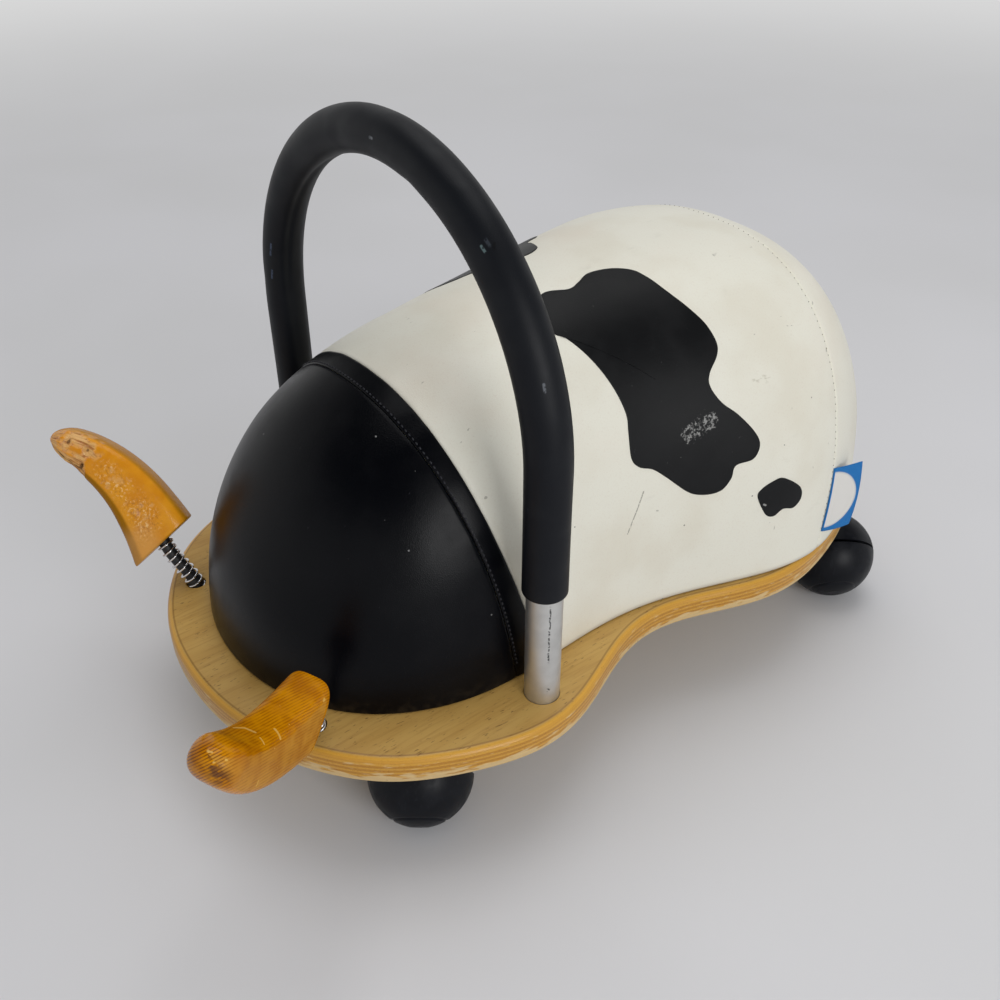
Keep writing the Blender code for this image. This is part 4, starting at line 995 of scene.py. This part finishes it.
# The cow's patches: thin satin black film bonded on the white cover, so they follow its swells.
# The two on the left flank follow the photograph, the one over the back is seen by its edge only.
PATCH_LIFT = 0.00035
PATCH_T = 0.0003
PATCH_RUB = ((0.1020, 0.0700, 0.1885), (0.1005, 0.0570, 0.1840), 0.0085)
PATCH_NICK = ((0.1272, 0.0986, 0.1330), (0.1272, 0.0998, 0.1322), 0.0008)
LEFT_LARGE = ((0.112, 46), (
    (0.0637, 74.9), (0.0693, 67.7), (0.0731, 65.6), (0.0778, 60.5), (0.0826, 53.8), (0.0864, 47.1),
    (0.0883, 41.0), (0.0868, 37.0), (0.0854, 31.4), (0.0893, 28.8), (0.0973, 27.2), (0.1047, 24.6),
    (0.1172, 20.0), (0.1271, 18.4), (0.1371, 18.4), (0.1435, 20.4), (0.1469, 22.9), (0.1578, 23.4),
    (0.1627, 26.0), (0.1606, 29.0), (0.1525, 33.6), (0.1445, 37.1), (0.1404, 41.2), (0.1424, 44.2),
    (0.1503, 47.9), (0.1533, 51.0), (0.1524, 56.1), (0.1485, 61.2), (0.1436, 67.3), (0.1399, 73.8),
    (0.1360, 77.8), (0.1261, 80.7), (0.1130, 81.7), (0.1032, 79.9), (0.0950, 79.0), (0.0806, 81.3)))
LEFT_SMALL = ((0.175, 14.5), (
    (0.1771, 17.6), (0.1892, 14.6), (0.1909, 12.1), (0.1852, 10.6), (0.1772, 11.1), (0.1707, 10.2),
    (0.1649, 11.2), (0.1596, 15.1), (0.1621, 16.6), (0.1698, 17.6)))
RIGHT_LARGE = ((0.096, 124), (
    (0.0552, 112), (0.0616, 108), (0.0722, 105.6), (0.0808, 103.2), (0.0908, 100.2), (0.1015, 98.2),
    (0.1090, 98.3), (0.1152, 99.8), (0.1185, 102.4), (0.1217, 105.9), (0.1240, 109.3), (0.1290, 110.2),
    (0.1345, 110.8), (0.1390, 114), (0.1380, 126), (0.1250, 139), (0.1040, 150), (0.0820, 146),
    (0.0640, 134), (0.0540, 121)))


def smooth_loop(points, parts):
    """A closed line through points: each stretch is the cubic whose slopes at its ends are half
    the step between the neighbours on both sides."""
    p = np.asarray(points, dtype=float)[:, None]
    before, after, beyond = np.roll(p, 1, axis=0), np.roll(p, -1, axis=0), np.roll(p, -2, axis=0)
    t = np.arange(parts)[None, :, None] / parts
    line = p + 0.5 * t * (after - before)
    line = line + 0.5 * t ** 2 * (2 * before - 5 * p + 4 * after - beyond)
    line = line + 0.5 * t ** 3 * (3 * p - before - 3 * after + beyond)
    return line.reshape(-1, 2)


def facing(mesh, face, outward):
    """Turns a mesh over where one of its faces looks away from a direction."""
    if mesh.polygons[face].normal.dot(Vector(outward)) < 0:
        mesh.flip_normals()
    return mesh


def patch(name, outline, material, node):
    """A film in rings about its middle, lifted off the cover and rounded down at its rim."""
    middle, corners = np.array(outline[0]), smooth_loop(outline[1], 8)
    share = np.concatenate([np.linspace(0, 0.97, 26), [0.985, 0.995, 1.0]])[:, None, None]
    spread = middle + share * (corners - middle)
    theta = theta_at(COVER_FRONT, COVER_REAR, spread[..., 0] + LEG_PLACE.y)
    phi = np.radians(spread[..., 1])
    lift = np.full(len(share), PATCH_LIFT)
    lift[-2:] *= (0.75, 0.1)
    normals = arch_normals(theta, phi)
    points = skin(theta, phi, BODY_EDGES) + lift[:, None, None] * normals
    mesh = facing(grid_mesh(name, points, closed=False), len(corners) * 2, normals[0, 0])
    thicken(put_on(name, mesh, material, "cow", [node], crease=60), PATCH_T)


def patches():
    """Three patches of one film, rubbed through in one place."""
    material, place = new_finish("black_film", Specular_IOR_Level=0.18)
    cloud = place.noise(0.02, 3.0).rise(0.4, 0.7)
    rubbed = place.stroke(*PATCH_RUB) * 0.20 + place.noise(0.0020, 5.0, rough=0.7)
    rubbed = rubbed.rise(0.68, 0.80).math("MAXIMUM", place.stroke(*PATCH_NICK, FLANK_SHARES))
    scratch = place.noise(0.0012, 2.0, (1, 7, 2)).rise(0.72, 0.78) * place.noise(0.02, 1.0).rise(0.55, 0.65)
    colour = (cloud * 0.6).mix((12, 13, 15), (19, 20, 22)).coats(
        (rubbed * 0.65, (176, 176, 174)),
        (scratch * 0.30, (96, 96, 98)))
    vary(material, colour, cloud * 0.08 + rubbed * 0.2 + 0.40, leather_relief(place), 0.00003)
    patch("flank_patch_large", LEFT_LARGE, material, "patch_left_large")
    patch("flank_patch_small", LEFT_SMALL, material, "patch_left_small")
    patch("back_patch_large", RIGHT_LARGE, material, "patch_right_large")


patches()


# The side label: a folded woven tab sewn into the rear seam, blue with a plain white field.
LABEL_LENGTH = 0.021
LABEL_HEIGHT = 0.042
LABEL_LOW = 0.012
LABEL_T = 0.0006
LABEL_THREAD = 0.0003
LABEL_CURL = (0.0010, 0.0012)
LABEL_HEADING = math.radians(75)


def label_finish():
    """Woven label: fine cross threads, a blue ground and a white field with one round side. The raised
    threads are painted lighter and the dips between them darker: painted highlight and shade.
    """
    material, place = new_finish("woven_label", Roughness=0.7)
    spot = place.kept("label_place")
    u, v = spot.part(0), spot.part(1)
    away = (u - 0.04).math("POWER", 2.0) * 0.8 + ((v - 0.5) * 1.75).math("POWER", 2.0)
    field = away.rise(0.62, 0.56) * u.rise(0.045, 0.060)
    weave_u, weave_v = ((way * (size / LABEL_THREAD * math.pi)).math("SINE")
                        for way, size in ((u, LABEL_LENGTH), (v, LABEL_HEIGHT)))
    weave = weave_u * weave_v
    raised = weave.rise(-0.6, 0.6)
    # Painted highlight and shade: raised threads lighter, the dips between them darker.
    blue = raised.mix((0, 96, 168), (12, 124, 196))
    white = raised.mix((214, 212, 208), (236, 234, 230))
    rim = field * (1 - away.rise(0.56, 0.50))
    colour = field.mix(blue, white).coats((rim * 0.25, (150, 160, 176)))
    return vary(material, colour, None, weave, 0.00006)


def side_label():
    """The tab: points on the seam moved out along one heading, with a soft curl across it."""
    v = np.linspace(0, 1, 43)
    u = np.linspace(0, 1, 25)[:, None]
    foot = REAR_SEAM[0] + LEG_PLACE.y
    arch = series(COVER_HEIGHTS, theta_at(COVER_FRONT, COVER_REAR, foot))
    phi = np.arcsin(((LABEL_LOW + v * LABEL_HEIGHT) / arch) ** (1 / arch_power(foot)))
    theta = seam_theta(REAR_SEAM, phi)
    root = arches(theta, phi) - LABEL_T * arch_normals(theta, phi)
    ahead = np.array([math.cos(LABEL_HEADING), math.sin(LABEL_HEADING), 0])
    aside = np.array([ahead[1], -ahead[0], 0])
    bow, flare = LABEL_CURL
    curl = bow * np.sin(u * math.pi) * (1 - 0.6 * v) + flare * u ** 2 * np.sin(v * math.pi)
    points = root + (u * LABEL_LENGTH)[..., None] * ahead + curl[..., None] * aside
    spots = np.stack(np.broadcast_arrays(u, v, 0.0), axis=-1)
    mesh = grid_mesh("woven_label", points, wrap=False, closed=False, label_place=spots)
    piece = put_on("woven_label", facing(mesh, 0, aside), label_finish(), "cow", ["side_label"])
    thicken(piece, LABEL_T)


side_label()


# The handle: a hoop of 19 mm aluminium tube, its feet plugged and screwed under the board, in a
# long black sleeve pushed on from the end, which is creased inside its far bend.
TUBE_WALL = 0.0015
GRIP_WALL = 0.0009
GRIP_LIP = (0.0012, 0.0009)
GRIP_CREASE = (0.34, 0.58)
GRIP_R = 0.0117
GRIP_START = 0.070
HANDLE_STRAIGHT = 0.1385
GRIP_DENTS = ((0.36, 0.75, 0.006, 0.0004), (0.335, 0.95, 0.009, 0.0004), (0.2718, 0.933, 0.004, -0.0003),
              (0.30, 0.6, 0.006, 0.0004), (0.52, 0.85, 0.010, 0.0004))
# Marks on the sleeve, each a line, a width and a tint; the fourth and fifth paint the shine of rubbed spots
# in pale tints, which are painted highlights.
GRIP_MARKS_AND_SHINE = (
    ((-0.1140, -0.0758, 0.2575), (-0.1165, -0.0758, 0.2500), 0.0009, (70, 82, 104)),
    ((-0.1178, -0.0755, 0.2400), (-0.1190, -0.0755, 0.2350), 0.0009, (70, 82, 104)),
    ((0.0060, -0.0766, 0.3467), (0.0078, -0.0766, 0.3466), 0.0009, (120, 124, 130)),
    ((0.0870, -0.0740, 0.3196), (0.0893, -0.0738, 0.3179), 0.0009, (92, 110, 112)),
    ((0.0871, -0.0717, 0.3221), (0.0896, -0.0715, 0.3202), 0.0011, (50, 55, 62)),
    ((0.0903, -0.0695, 0.3208), (0.0915, -0.0706, 0.3190), 0.0009, (2, 3, 5)),
    ((0.1262, -0.0704, 0.2690), (0.1270, -0.0704, 0.2658), 0.0009, (104, 108, 114)))


def hoop(s):
    """The hoop's line at a length from the left foot's board level: up one leg, round the arc
    and down the other. Gives points and the direction away from the hoop's middle."""
    span = LEG_PLACE.x
    turn = np.clip((s - HANDLE_STRAIGHT) / span, 0, math.pi)
    past = np.clip(s - HANDLE_STRAIGHT - math.pi * span, 0, None)
    outward = spin([1, 0, 0], [0, 0, 1], turn)
    centre = span * outward + np.array([0, LEG_PLACE.y, DECK])
    centre[..., 2] += np.minimum(s, HANDLE_STRAIGHT) - past
    return centre, outward


HOOP_LENGTH = 2 * HANDLE_STRAIGHT + math.pi * LEG_PLACE.x


def pipe(name, s, radius, sides):
    """A tube along the hoop: each ring's radius may change with its angle, 0 facing out."""
    centre, outward = hoop(s)
    ring = spin(outward[:, None], [0, 1, 0], circle(sides))
    points = centre[:, None] + radius(s[:, None], circle(sides))[..., None] * ring
    return grid_mesh(name, points, closed=False)


def tube_radius(s, angle):
    """The tube is as thick all the way."""
    return np.full(np.broadcast_shapes(s.shape, angle.shape), TUBE_R)


def grip_radius(s, angle):
    """The sleeve: rounded lips at its ends, a shallow crease inside the far bend, a few dents."""
    end = np.minimum(s - GRIP_START, HOOP_LENGTH - GRIP_START - s)
    radius = GRIP_R + roll(end, *GRIP_LIP) + 0.00012 * np.sin(s * 40)
    start, stop = GRIP_CREASE
    bend = ramp(s, start, start + 0.08) * ramp(s, stop, stop - 0.08)
    inside = np.cos(angle - math.pi - 0.25 * np.sin(s * 16))
    radius = radius - 0.0009 * bend * bulge(np.arccos(np.clip(inside, -1, 1)), 0.16)
    for place, turn, reach, depth in GRIP_DENTS:
        apart = (angle - turn * 2 * math.pi + math.pi) % (2 * math.pi) - math.pi
        radius = radius - depth * bulge(s - place, reach) * bulge(apart * GRIP_R, reach)
    return radius


def aluminium_finish():
    """Satin anodised aluminium: fine lengthwise drawing lines, and a dark scored line outside."""
    material, place = new_finish("satin_aluminium", Metallic=1.0)
    lines = place.noise(0.0004, 3.0, (1, 1, 40))
    tone = place.noise(0.012, 3.0).rise(0.35, 0.7)
    foot = (LEG_PLACE.x, LEG_PLACE.y, DECK)
    spot = place.node("VectorMath", {"operation": "SUBTRACT"}, {0: place, 1: foot})
    up = spot.part(2)
    aside = spot.dot((0.61, 0.792, 0.0))
    wander = (place.noise(0.004, 3.0) - 0.5) * 0.0016
    scored = (aside - 0.0024 + wander).math("ABSOLUTE").rise(0.00060, 0.00025)
    scored = scored * up.within(0.030, 0.066, 0.002) * place.noise(0.0015, 2.0).rise(0.42, 0.52)
    nick = (aside - 0.003).math("ABSOLUTE").rise(0.0012, 0.0004)
    nick = nick * up.within(0.0085, 0.0125, 0.001) * place.noise(0.0012, 3.0).rise(0.52, 0.6)
    marks = scored.math("MAXIMUM", nick) * spot.dot((0.792, -0.61, 0.0)).rise(0.0, 0.002)
    colour = tone.mix((212, 212, 210), (200, 200, 198)).coats((marks * 0.85, (40, 40, 42)))
    return vary(material, colour, lines * 0.08 + tone * 0.05 + 0.42, lines * 0.3 - marks * 2.0, 0.00003)


def grip_finish():
    """Matt black rubber sleeve with a blue cast, with nicks and pale scuffs, and the shine of rubbed spots
    painted as pale marks: painted highlights.
    """
    material, place = new_finish("grip_sleeve", Specular_IOR_Level=0.20)
    cloud = place.noise(0.02, 3.0).rise(0.4, 0.7)
    scuff = place.noise(0.0030, 4.0, (1, 1, 2.5)).rise(0.68, 0.76)
    scuff = scuff * place.noise(0.035, 1.0).rise(0.55, 0.65)
    patchy = place.noise(0.0014, 2.0).rise(0.35, 0.5) * 0.8
    # The listed marks are painted in their tints, the shine of rubbed spots among them as painted
    # highlights.
    colour = (cloud * 0.7).mix((8, 11, 18), (16, 19, 24)).coats(
        (scuff * 0.4, (60, 66, 78)),
        *((place.stroke(*mark) * patchy, tint) for *mark, tint in GRIP_MARKS_AND_SHINE))
    relief = place.noise(0.0005, 3.0) + scuff * -1.5
    return vary(material, colour, 0.50 - cloud * 0.06 - scuff * 0.12, relief, 0.00005)


def handle():
    """The tube from its two feet, the sleeve over it and the plastic plugs, which stay."""
    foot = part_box("handle_tube")[0].z - DECK
    tube = pipe("hoop_tube", np.linspace(foot, HOOP_LENGTH - foot, 260), tube_radius, 48)
    covered = between((GRIP_START, HOOP_LENGTH - GRIP_START), crowded(420))
    sleeve = pipe("hoop_sleeve", covered, grip_radius, 64)
    for name, mesh, wall, material, slot, node in (
            ("hoop_tube", tube, TUBE_WALL, aluminium_finish(), "aluminium", "handle_tube"),
            ("hoop_sleeve", sleeve, GRIP_WALL, grip_finish(), "grip", "handle_grip")):
        piece = put_on(name, mesh, material, "cow", [node])
        mesh.flip_normals()
        thicken(piece, wall)
    material, place = new_finish("plug_plastic", Roughness=0.5)
    vary(material, place.noise(0.003, 2.0).mix((44, 44, 46), (58, 58, 60)))
    for side in ("left", "right"):
        finish(frame["nodes"][f"handle_plug_{side}"].data, material)


handle()


# The horns: both sawn alike from 26 mm hardwood, bent like a cow's horn and stained amber, each on a
# coil spring. The left one droops and shows its growth rings, the right one is chewed at its tip.
HORN_SEATS = {"left": Vector((0.0854, LEG_PLACE.y - 0.1204, DECK + 0.0270)),
              "right": Vector((-0.0858, LEG_PLACE.y - 0.1162, DECK + 0.0271))}
HORN_AIMS = {"left": (0.498, -0.845, 0.192), "right": (-0.532, -0.052, 0.845)}
HORN_BULGES = {"left": (-0.037, -0.242, -0.970), "right": (0.388, 0.872, 0.300)}
HORN_LENGTH = 0.0908
HORN_WIDTHS = (0.0398, 0.0175)
HORN_THICKNESSES = (0.0260, 0.0249)
HORN_BEND = math.radians(55.3)
HORN_SKEW = math.radians(21)
HORN_ROUND = 0.0133
HORN_EDGE_POWERS = (3.6, 2.1)
HORN_SOCKET = 0.006
HORN_SIDES = 192
HORN_BASE = ((0, 0, 0.004, 0.012), (0, 0.955, 0.985, 0.997))
HORN_BEND_POWER = 1.34
HORN_ROUNDING = (0.74, 0.94)
HORN_SKEW_REACH = 0.25
HORN_PITS = ((0.864, 0.016, 0.40, 0.26), (0.742, 0.015, 0.36, 0.22), (0.726, 0.012, -0.55, 0.22))
# Scratches on the left horn, each a line and a width; the last four are pale spots at the tip that paint
# glints: painted highlights.
HORN_SCRATCHES_AND_GLINTS = (
    ((0.1052, -0.2248, 0.1413), (0.1062, -0.2207, 0.1390), 0.0010),
    ((0.1062, -0.2207, 0.1390), (0.1104, -0.2179, 0.1383), 0.0010),
    ((0.1093, -0.2083, 0.1330), (0.1140, -0.2083, 0.1310), 0.0009),
    ((0.1150, -0.2177, 0.1387), (0.1190, -0.2179, 0.1383), 0.0006),
    ((0.1266, -0.2339, 0.1545), (0.1301, -0.2344, 0.1537), 0.0007),
    ((0.1251, -0.2270, 0.1232), (0.1252, -0.2257, 0.1256), 0.0006),
    ((0.0957, -0.1764, 0.1207), (0.0963, -0.1768, 0.1207), 0.0011),
    ((0.1253, -0.2439, 0.1573), (0.1258, -0.2437, 0.1573), 0.0008),
    ((0.1264, -0.2431, 0.1572), (0.1268, -0.2428, 0.1571), 0.0006),
    ((0.1301, -0.2441, 0.1549), (0.1305, -0.2438, 0.1550), 0.0007),
    ((0.1313, -0.2393, 0.1542), (0.1316, -0.2389, 0.1541), 0.0007))


def horn_axes(side):
    """The horn's own axes as columns: towards the tip, towards its bulging edge, and across."""
    x = Vector(HORN_AIMS[side]).normalized()
    y = Vector(HORN_BULGES[side])
    y = (y - y.dot(x) * x).normalized()
    return np.array([x, y, x.cross(y)]).T


def horn_grid():
    """Oblong sections along a bending line: their corners are those of a superellipse, rounder
    and narrower to the tip and closed there by a quarter circle, with a slanted, eased base."""
    share = HORN_ROUND / HORN_LENGTH
    nose = 1 - share + share * np.sin(np.radians(np.linspace(4, 90, 30)))
    base, base_size = HORN_BASE
    s = np.concatenate([base, np.linspace(2 * base[-1], 1 - share, 130), nose])
    eased = np.append(base_size, np.ones(len(s) - len(base)))
    fine = np.linspace(0, 1, 400)
    turn = -HORN_BEND * fine ** HORN_BEND_POWER
    line_x, line_y = (np.append(0, np.cumsum(way(turn))[:-1]) * HORN_LENGTH / len(fine)
                      for way in (np.cos, np.sin))
    taper = np.sqrt(1 - ramp(s, 1 - share, 1) ** 2) * eased / 2
    width = between(HORN_WIDTHS, s) * taper
    thickness = between(HORN_THICKNESSES, s ** 1.5) * taper
    corner = 2 / between(HORN_EDGE_POWERS, ramp(s, *HORN_ROUNDING) ** 1.5)[:, None]
    across, thick = (np.sign(way) * np.abs(way) ** corner
                     for way in (np.cos(circle(HORN_SIDES)), np.sin(circle(HORN_SIDES))))
    u, v = width[:, None] * across, thickness[:, None] * thick
    angle = np.interp(s, fine, turn)[:, None]
    slant = math.tan(HORN_SKEW) * ramp(s, HORN_SKEW_REACH, 0)[:, None]
    x = np.interp(s, fine, line_x)[:, None] + u * (slant * np.cos(angle) - np.sin(angle))
    y = np.interp(s, fine, line_y)[:, None] + u * (slant * np.sin(angle) + np.cos(angle))
    marks = np.broadcast_arrays(s[:, None], across, thick)
    return np.stack([x, y, v], axis=-1), np.stack(marks, axis=-1)


def grid_normals(points):
    """Outward normals of a closed grid, from the differences along its rows and columns."""
    around = np.roll(points, -1, axis=1) - np.roll(points, 1, axis=1)
    return unit(np.cross(around, np.gradient(points, axis=0)))


def bites(points, marks):
    """How deep the chewed horn is eaten: gouges along its hollow edge by the tip, pits near them,
    and a field of small tooth marks over the middle of its outer cheek."""
    s, across, thick = marks[..., 0], marks[..., 1], marks[..., 2]
    cheek = ramp(thick, -0.125, -0.75)
    tip = ramp(s + 0.04 * lumps(points, 0.004, 20), 0.66, 0.73) * ramp(s, 1.03, 0.98)
    hollow_edge = bulge(across + 0.80, 0.36) * ramp(thick, 0.5, -0.5)
    grain = marks * [9.1, 11, 13]
    strands = lumps(grain * [0.3, 1, 1], 1.6, 21) * 0.6 + lumps(grain * [0.2, 1, 1], 0.8, 22) * 0.4
    gouge = tip * hollow_edge * (0.0021 + 0.0016 * strands)
    chips = tip * cheek * np.clip(0.60 + 0.8 * lumps(points, 0.0035, 23) + 0.6 * strands, 0, 1) * 0.0012
    pit = sum(bulge(s - at, long) * bulge(across - aside, wide) for at, long, aside, wide in HORN_PITS)
    field = ramp(s, 0.10, 0.25) * ramp(s, 0.66, 0.56) * cheek * bulge(across + 0.05, 0.55, 4)
    field = field * np.clip(0.7 + 1.2 * lumps(points, 0.009, 26), 0.1, 1)
    teeth = np.clip(lumps(points, 0.0019, 24) + 0.6 * lumps(points, 0.0011, 25), 0, 1)
    return gouge + chips + 0.0024 * cheek * pit + field * (0.00085 * teeth + 0.00020)


def ringed_horn_finish():
    """Amber stain over growth rings: planes a millimetre apart, with the cheek rubbed to pinkish
    wood, a dark bruise at the tip, a few crescent scratches, and pale spots at the tip that are painted
    glints, painted highlights."""
    material, place = new_finish("ringed_horn", Coat_Roughness=0.12, Specular_IOR_Level=0.06)
    spot = place.kept("horn_place")
    s, across, thick = spot.part(0), spot.part(1), spot.part(2)
    warp = place.noise(0.02, 2.0) - 0.5
    ring = (place.dot((0.72, 0.0, -0.69)) * (2 * math.pi / 0.00125) + warp * 5.0).math("SINE")
    dark = ring.rise(-0.1, 0.9) * place.noise(0.006, 2.0).rise(0.15, 0.65)
    tone = place.noise(0.012, 3.0).rise(0.35, 0.7)
    amber = tone.mix((204, 134, 4), (180, 110, 2)).coats((dark * 0.6, (138, 76, 1)))
    pink = tone.mix((198, 140, 50), (182, 120, 38)).coats((dark * 0.5, (150, 90, 22)))
    cheek = (thick + (place.noise(0.006, 3.0) - 0.5) * 0.10).rise(0.86, 0.93) * s.rise(0.02, 0.05)
    tip = (s + across * 0.05).rise(0.88, 0.98)
    bruise = s.rise(0.86, 0.95) * across.rise(0.1, 0.7) * thick.rise(0.0, 0.6)
    bruise = bruise * place.noise(0.004, 4.0).rise(0.36, 0.54)
    scratch = place.noise(0.0018, 1.0, (3, 1, 1)).rise(0.74, 0.78)
    scratch = scratch * place.noise(0.012, 1.0).rise(0.50, 0.58)
    # The listed marks: scratches, and at the tip painted highlights of glints.
    for mark in HORN_SCRATCHES_AND_GLINTS:
        scratch = scratch.math("MAXIMUM", place.stroke(*mark))
    colour = cheek.mix(amber, pink).coats(
        (tip * dark * 0.75, (96, 52, 16)),
        (bruise * 0.75, (78, 48, 38)),
        (scratch * 0.6, (232, 192, 104)))
    roughness = cheek * 0.14 + scratch * 0.15 + 0.22
    return vary(material, colour, roughness, dark * -0.5 - scratch * 1.2, 0.00006, 0.22 - cheek * 0.17)


def chewed_horn_finish():
    """Orange amber stain, olive on the hollow edge, bitten through to pale and pinkish wood with
    dark pits at the tip. Darker rims along the other edge and the base are painted shade, and the tooth
    marks over the cheek are painted pale on their bumps and dark between them: painted highlight and shade."""
    material, place = new_finish("chewed_horn", Coat_Roughness=0.15, Specular_IOR_Level=0.06)
    spot, bite = place.kept("horn_place"), place.kept("bite_depth", "Fac")
    s, across, thick = spot.part(0), spot.part(1), spot.part(2)
    tone = place.noise(0.012, 3.0).rise(0.35, 0.7)
    hollow = across.rise(-0.56, -0.70)
    # Painted shade: a darker rim along the other edge and round the base.
    rim = across.rise(0.88, 0.97).math("MAXIMUM", s.rise(0.018, 0.004))
    field = s.within(0.10, 0.62, 0.08) * across.within(-0.42, 0.42, 0.22) * thick.rise(-0.8, -0.95)
    field = field * place.noise(0.011, 2.0).rise(0.24, 0.46)
    tooth = place.noise(0.0017, 3.0, rough=0.6)
    crackle = place.cells(0.0026).rise(0.12, 0.02) * place.noise(0.004, 2.0).rise(0.4, 0.6)
    shallow, deep = bite.rise(0.0001, 0.0005), bite.rise(0.0005, 0.0009)
    bare = spot.noise(0.13, 4.0).rise(0.42, 0.66).mix((222, 176, 112), (158, 98, 50))
    colour = tone.mix((222, 150, 32), (210, 134, 22)).coats(
        (hollow * 0.95, (150, 100, 4)),
        (rim * 0.80, (166, 114, 12)),
        (s.rise(0.24, 0.12) * across.rise(0.35, -0.2) * 0.5, (204, 152, 92)),
        # Painted highlight on the tops of the tooth marks, painted shade between them.
        (field * tooth.rise(0.54, 0.66) * 0.75, (244, 204, 142)),
        (field * tooth.rise(0.46, 0.34) * 0.60, (156, 98, 44)),
        (shallow * 0.55, (226, 172, 104)),
        (shallow * place.noise(0.004, 3.0).rise(0.5, 0.65) * 0.5, (216, 156, 124)),
        (shallow * crackle * 0.5, (150, 92, 40)),
        (deep * 0.85, bare),
        (bite.rise(0.0019, 0.0026) * 0.7, (74, 44, 24)))
    relief = crackle * -0.3 + tone * 0.1 + field * tooth * 2.5 + deep * place.noise(0.0008, 3.0) * 1.5
    coat = 0.30 - hollow.math("MAXIMUM", rim) * 0.26
    return vary(material, colour, deep * 0.28 + 0.20, relief, 0.00025, coat)


def horn(side, material, eaten=False):
    """One horn, bored for its spring."""
    points, marks = horn_grid()
    depth = bites(points, marks) if eaten else np.zeros(points.shape[:2])
    if eaten:
        points = points - depth[..., None] * grid_normals(points)
    seat, aim = HORN_SEATS[side], Vector(HORN_AIMS[side]).normalized()
    mesh = grid_mesh(f"wooden_horn_{side}", points @ horn_axes(side).T + np.array(seat),
                     horn_place=marks, bite_depth=depth)
    mesh = carved(mesh, [(seat - aim * 0.012, seat + aim * HORN_SOCKET, SPRING_R + SOCKET_PLAY)])
    put_on(f"wooden_horn_{side}", mesh, material, f"horn_{side}", [f"horn_{side}"], crease=35)


horn("left", ringed_horn_finish())
horn("right", chewed_horn_finish(), eaten=True)


# The springs: plated wire coils round a black rubber cord, standing in the board's and the horn's
# sockets. Each is made in two lengths that meet in its middle.
WIRE_R = 0.00065
SPRING_PITCH = 0.0040
CORE_R = 0.0035
CORE_FOOT_R = 0.0046
WIRE_SIDES = 10
CORD_SIDES = 24
COIL_STEPS = 32
CORD_STEPS = 60


def stem_line(side):
    """The spring's middle line: a cubic from the board to the horn with the foot's lean and the
    horn's aim at its ends, and a straight run in each socket. Gives points and lengths."""
    foot, seat, lean = (np.array(ends[side]) for ends in (STEM_FEET, HORN_SEATS, STEM_LEANS))
    aim = unit(np.array(HORN_AIMS[side]))
    t = np.linspace(0, 1, 161)[:, None]
    bend = foot * (2 * t ** 3 - 3 * t ** 2 + 1) + seat * (3 * t ** 2 - 2 * t ** 3)
    bend = bend + np.linalg.norm(seat - foot) * (lean * (t ** 3 - 2 * t ** 2 + t) + aim * (t ** 3 - t ** 2))
    below, above = (np.linspace(depth - PLAY, 0, 24, endpoint=False)[:, None]
                    for depth in (SOCKET_DEPTH, HORN_SOCKET))
    line = np.concatenate([foot - lean * below, bend, seat + aim * above[::-1]])
    return line, run_lengths(line)


def cord_mesh(name, points, radius, sides):
    """A round cord along points: rings square to the line, closed by a point at each end."""
    ahead = unit(np.gradient(points, axis=0))
    first = unit(np.cross(ahead, [0.13, 0.97, 0.21]))
    ring = spin(first[:, None], np.cross(ahead, first)[:, None], circle(sides))
    body = points[:, None] + np.broadcast_to(radius, len(points))[:, None, None] * ring
    start, end = (np.tile(points[tip], (1, sides, 1)) for tip in (0, -1))
    return grid_mesh(name, np.concatenate([start, body, end]))


def spring(side, steel, rubber):
    """The coil is its line plus a turning offset; the rubber is wider at its foot."""
    line, length = stem_line(side)
    start, end = 2 * WIRE_R, length[-1] - 2 * WIRE_R
    turns = round((end - start) / SPRING_PITCH)
    place = np.linspace(start, end, turns * COIL_STEPS + 1)
    ahead = read_line(unit(np.gradient(line, axis=0)), length, place)
    first = unit(np.cross(ahead, [0, 1, 0]))
    offset = spin(first, np.cross(ahead, first), np.linspace(0, 2 * math.pi * turns, len(place)))
    wire = read_line(line, length, place) + (SPRING_R - WIRE_R) * offset

    free = (SOCKET_DEPTH, length[-1] - HORN_SOCKET)
    middle = sum(free) / 2
    split = int(np.searchsorted(place, middle))
    foot, waist, seat = map(tuple, read_line(line, length, [free[0], middle, free[1]]))
    cord_place = np.linspace(0, length[-1], 2 * CORD_STEPS + 1)
    cord = read_line(line, length, cord_place)
    radius = between((CORE_R, CORE_FOOT_R), bulge(np.clip(cord_place - free[0], 0, None), 0.0035, 4))
    bodies = ("cow", f"horn_{side}_stem", f"horn_{side}")
    for part, wire_part, cord_part, ends, hold in (
            ("lower", slice(0, split + 1), slice(0, CORD_STEPS + 1), (foot, waist), bodies[:2]),
            ("upper", slice(split, None), slice(CORD_STEPS, None), (waist, seat), bodies[1:])):
        coil = cord_mesh("coil", wire[wire_part], WIRE_R, WIRE_SIDES)
        core = cord_mesh("cord", cord[cord_part], radius[cord_part], CORD_SIDES)
        for name, mesh, material, slot, node in (("coil", coil, steel, "spring_steel", "spring"),
                                                 ("cord", core, rubber, "core_rubber", "core")):
            piece = put_on(f"{name}_{side}_{part}", mesh, material, None, [f"horn_{node}_{side}"])
            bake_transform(piece)


def springs():
    """Both springs, of plated wire and black rubber."""
    steel, place = new_finish("spring_wire", Metallic=1.0)
    vary(steel, place.noise(0.002, 2.0).mix((232, 232, 234), (206, 206, 210)),
         place.noise(0.001, 2.0) * 0.15 + 0.16)
    rubber, place = new_finish("spring_rubber")
    vary(rubber, place.noise(0.002, 2.0).mix((14, 14, 15), (24, 24, 26)),
         place.noise(0.003, 2.0) * 0.2 + 0.45, place.noise(0.0008, 2.0), 0.00005)
    for side in ("left", "right"):
        spring(side, steel, rubber)


springs()
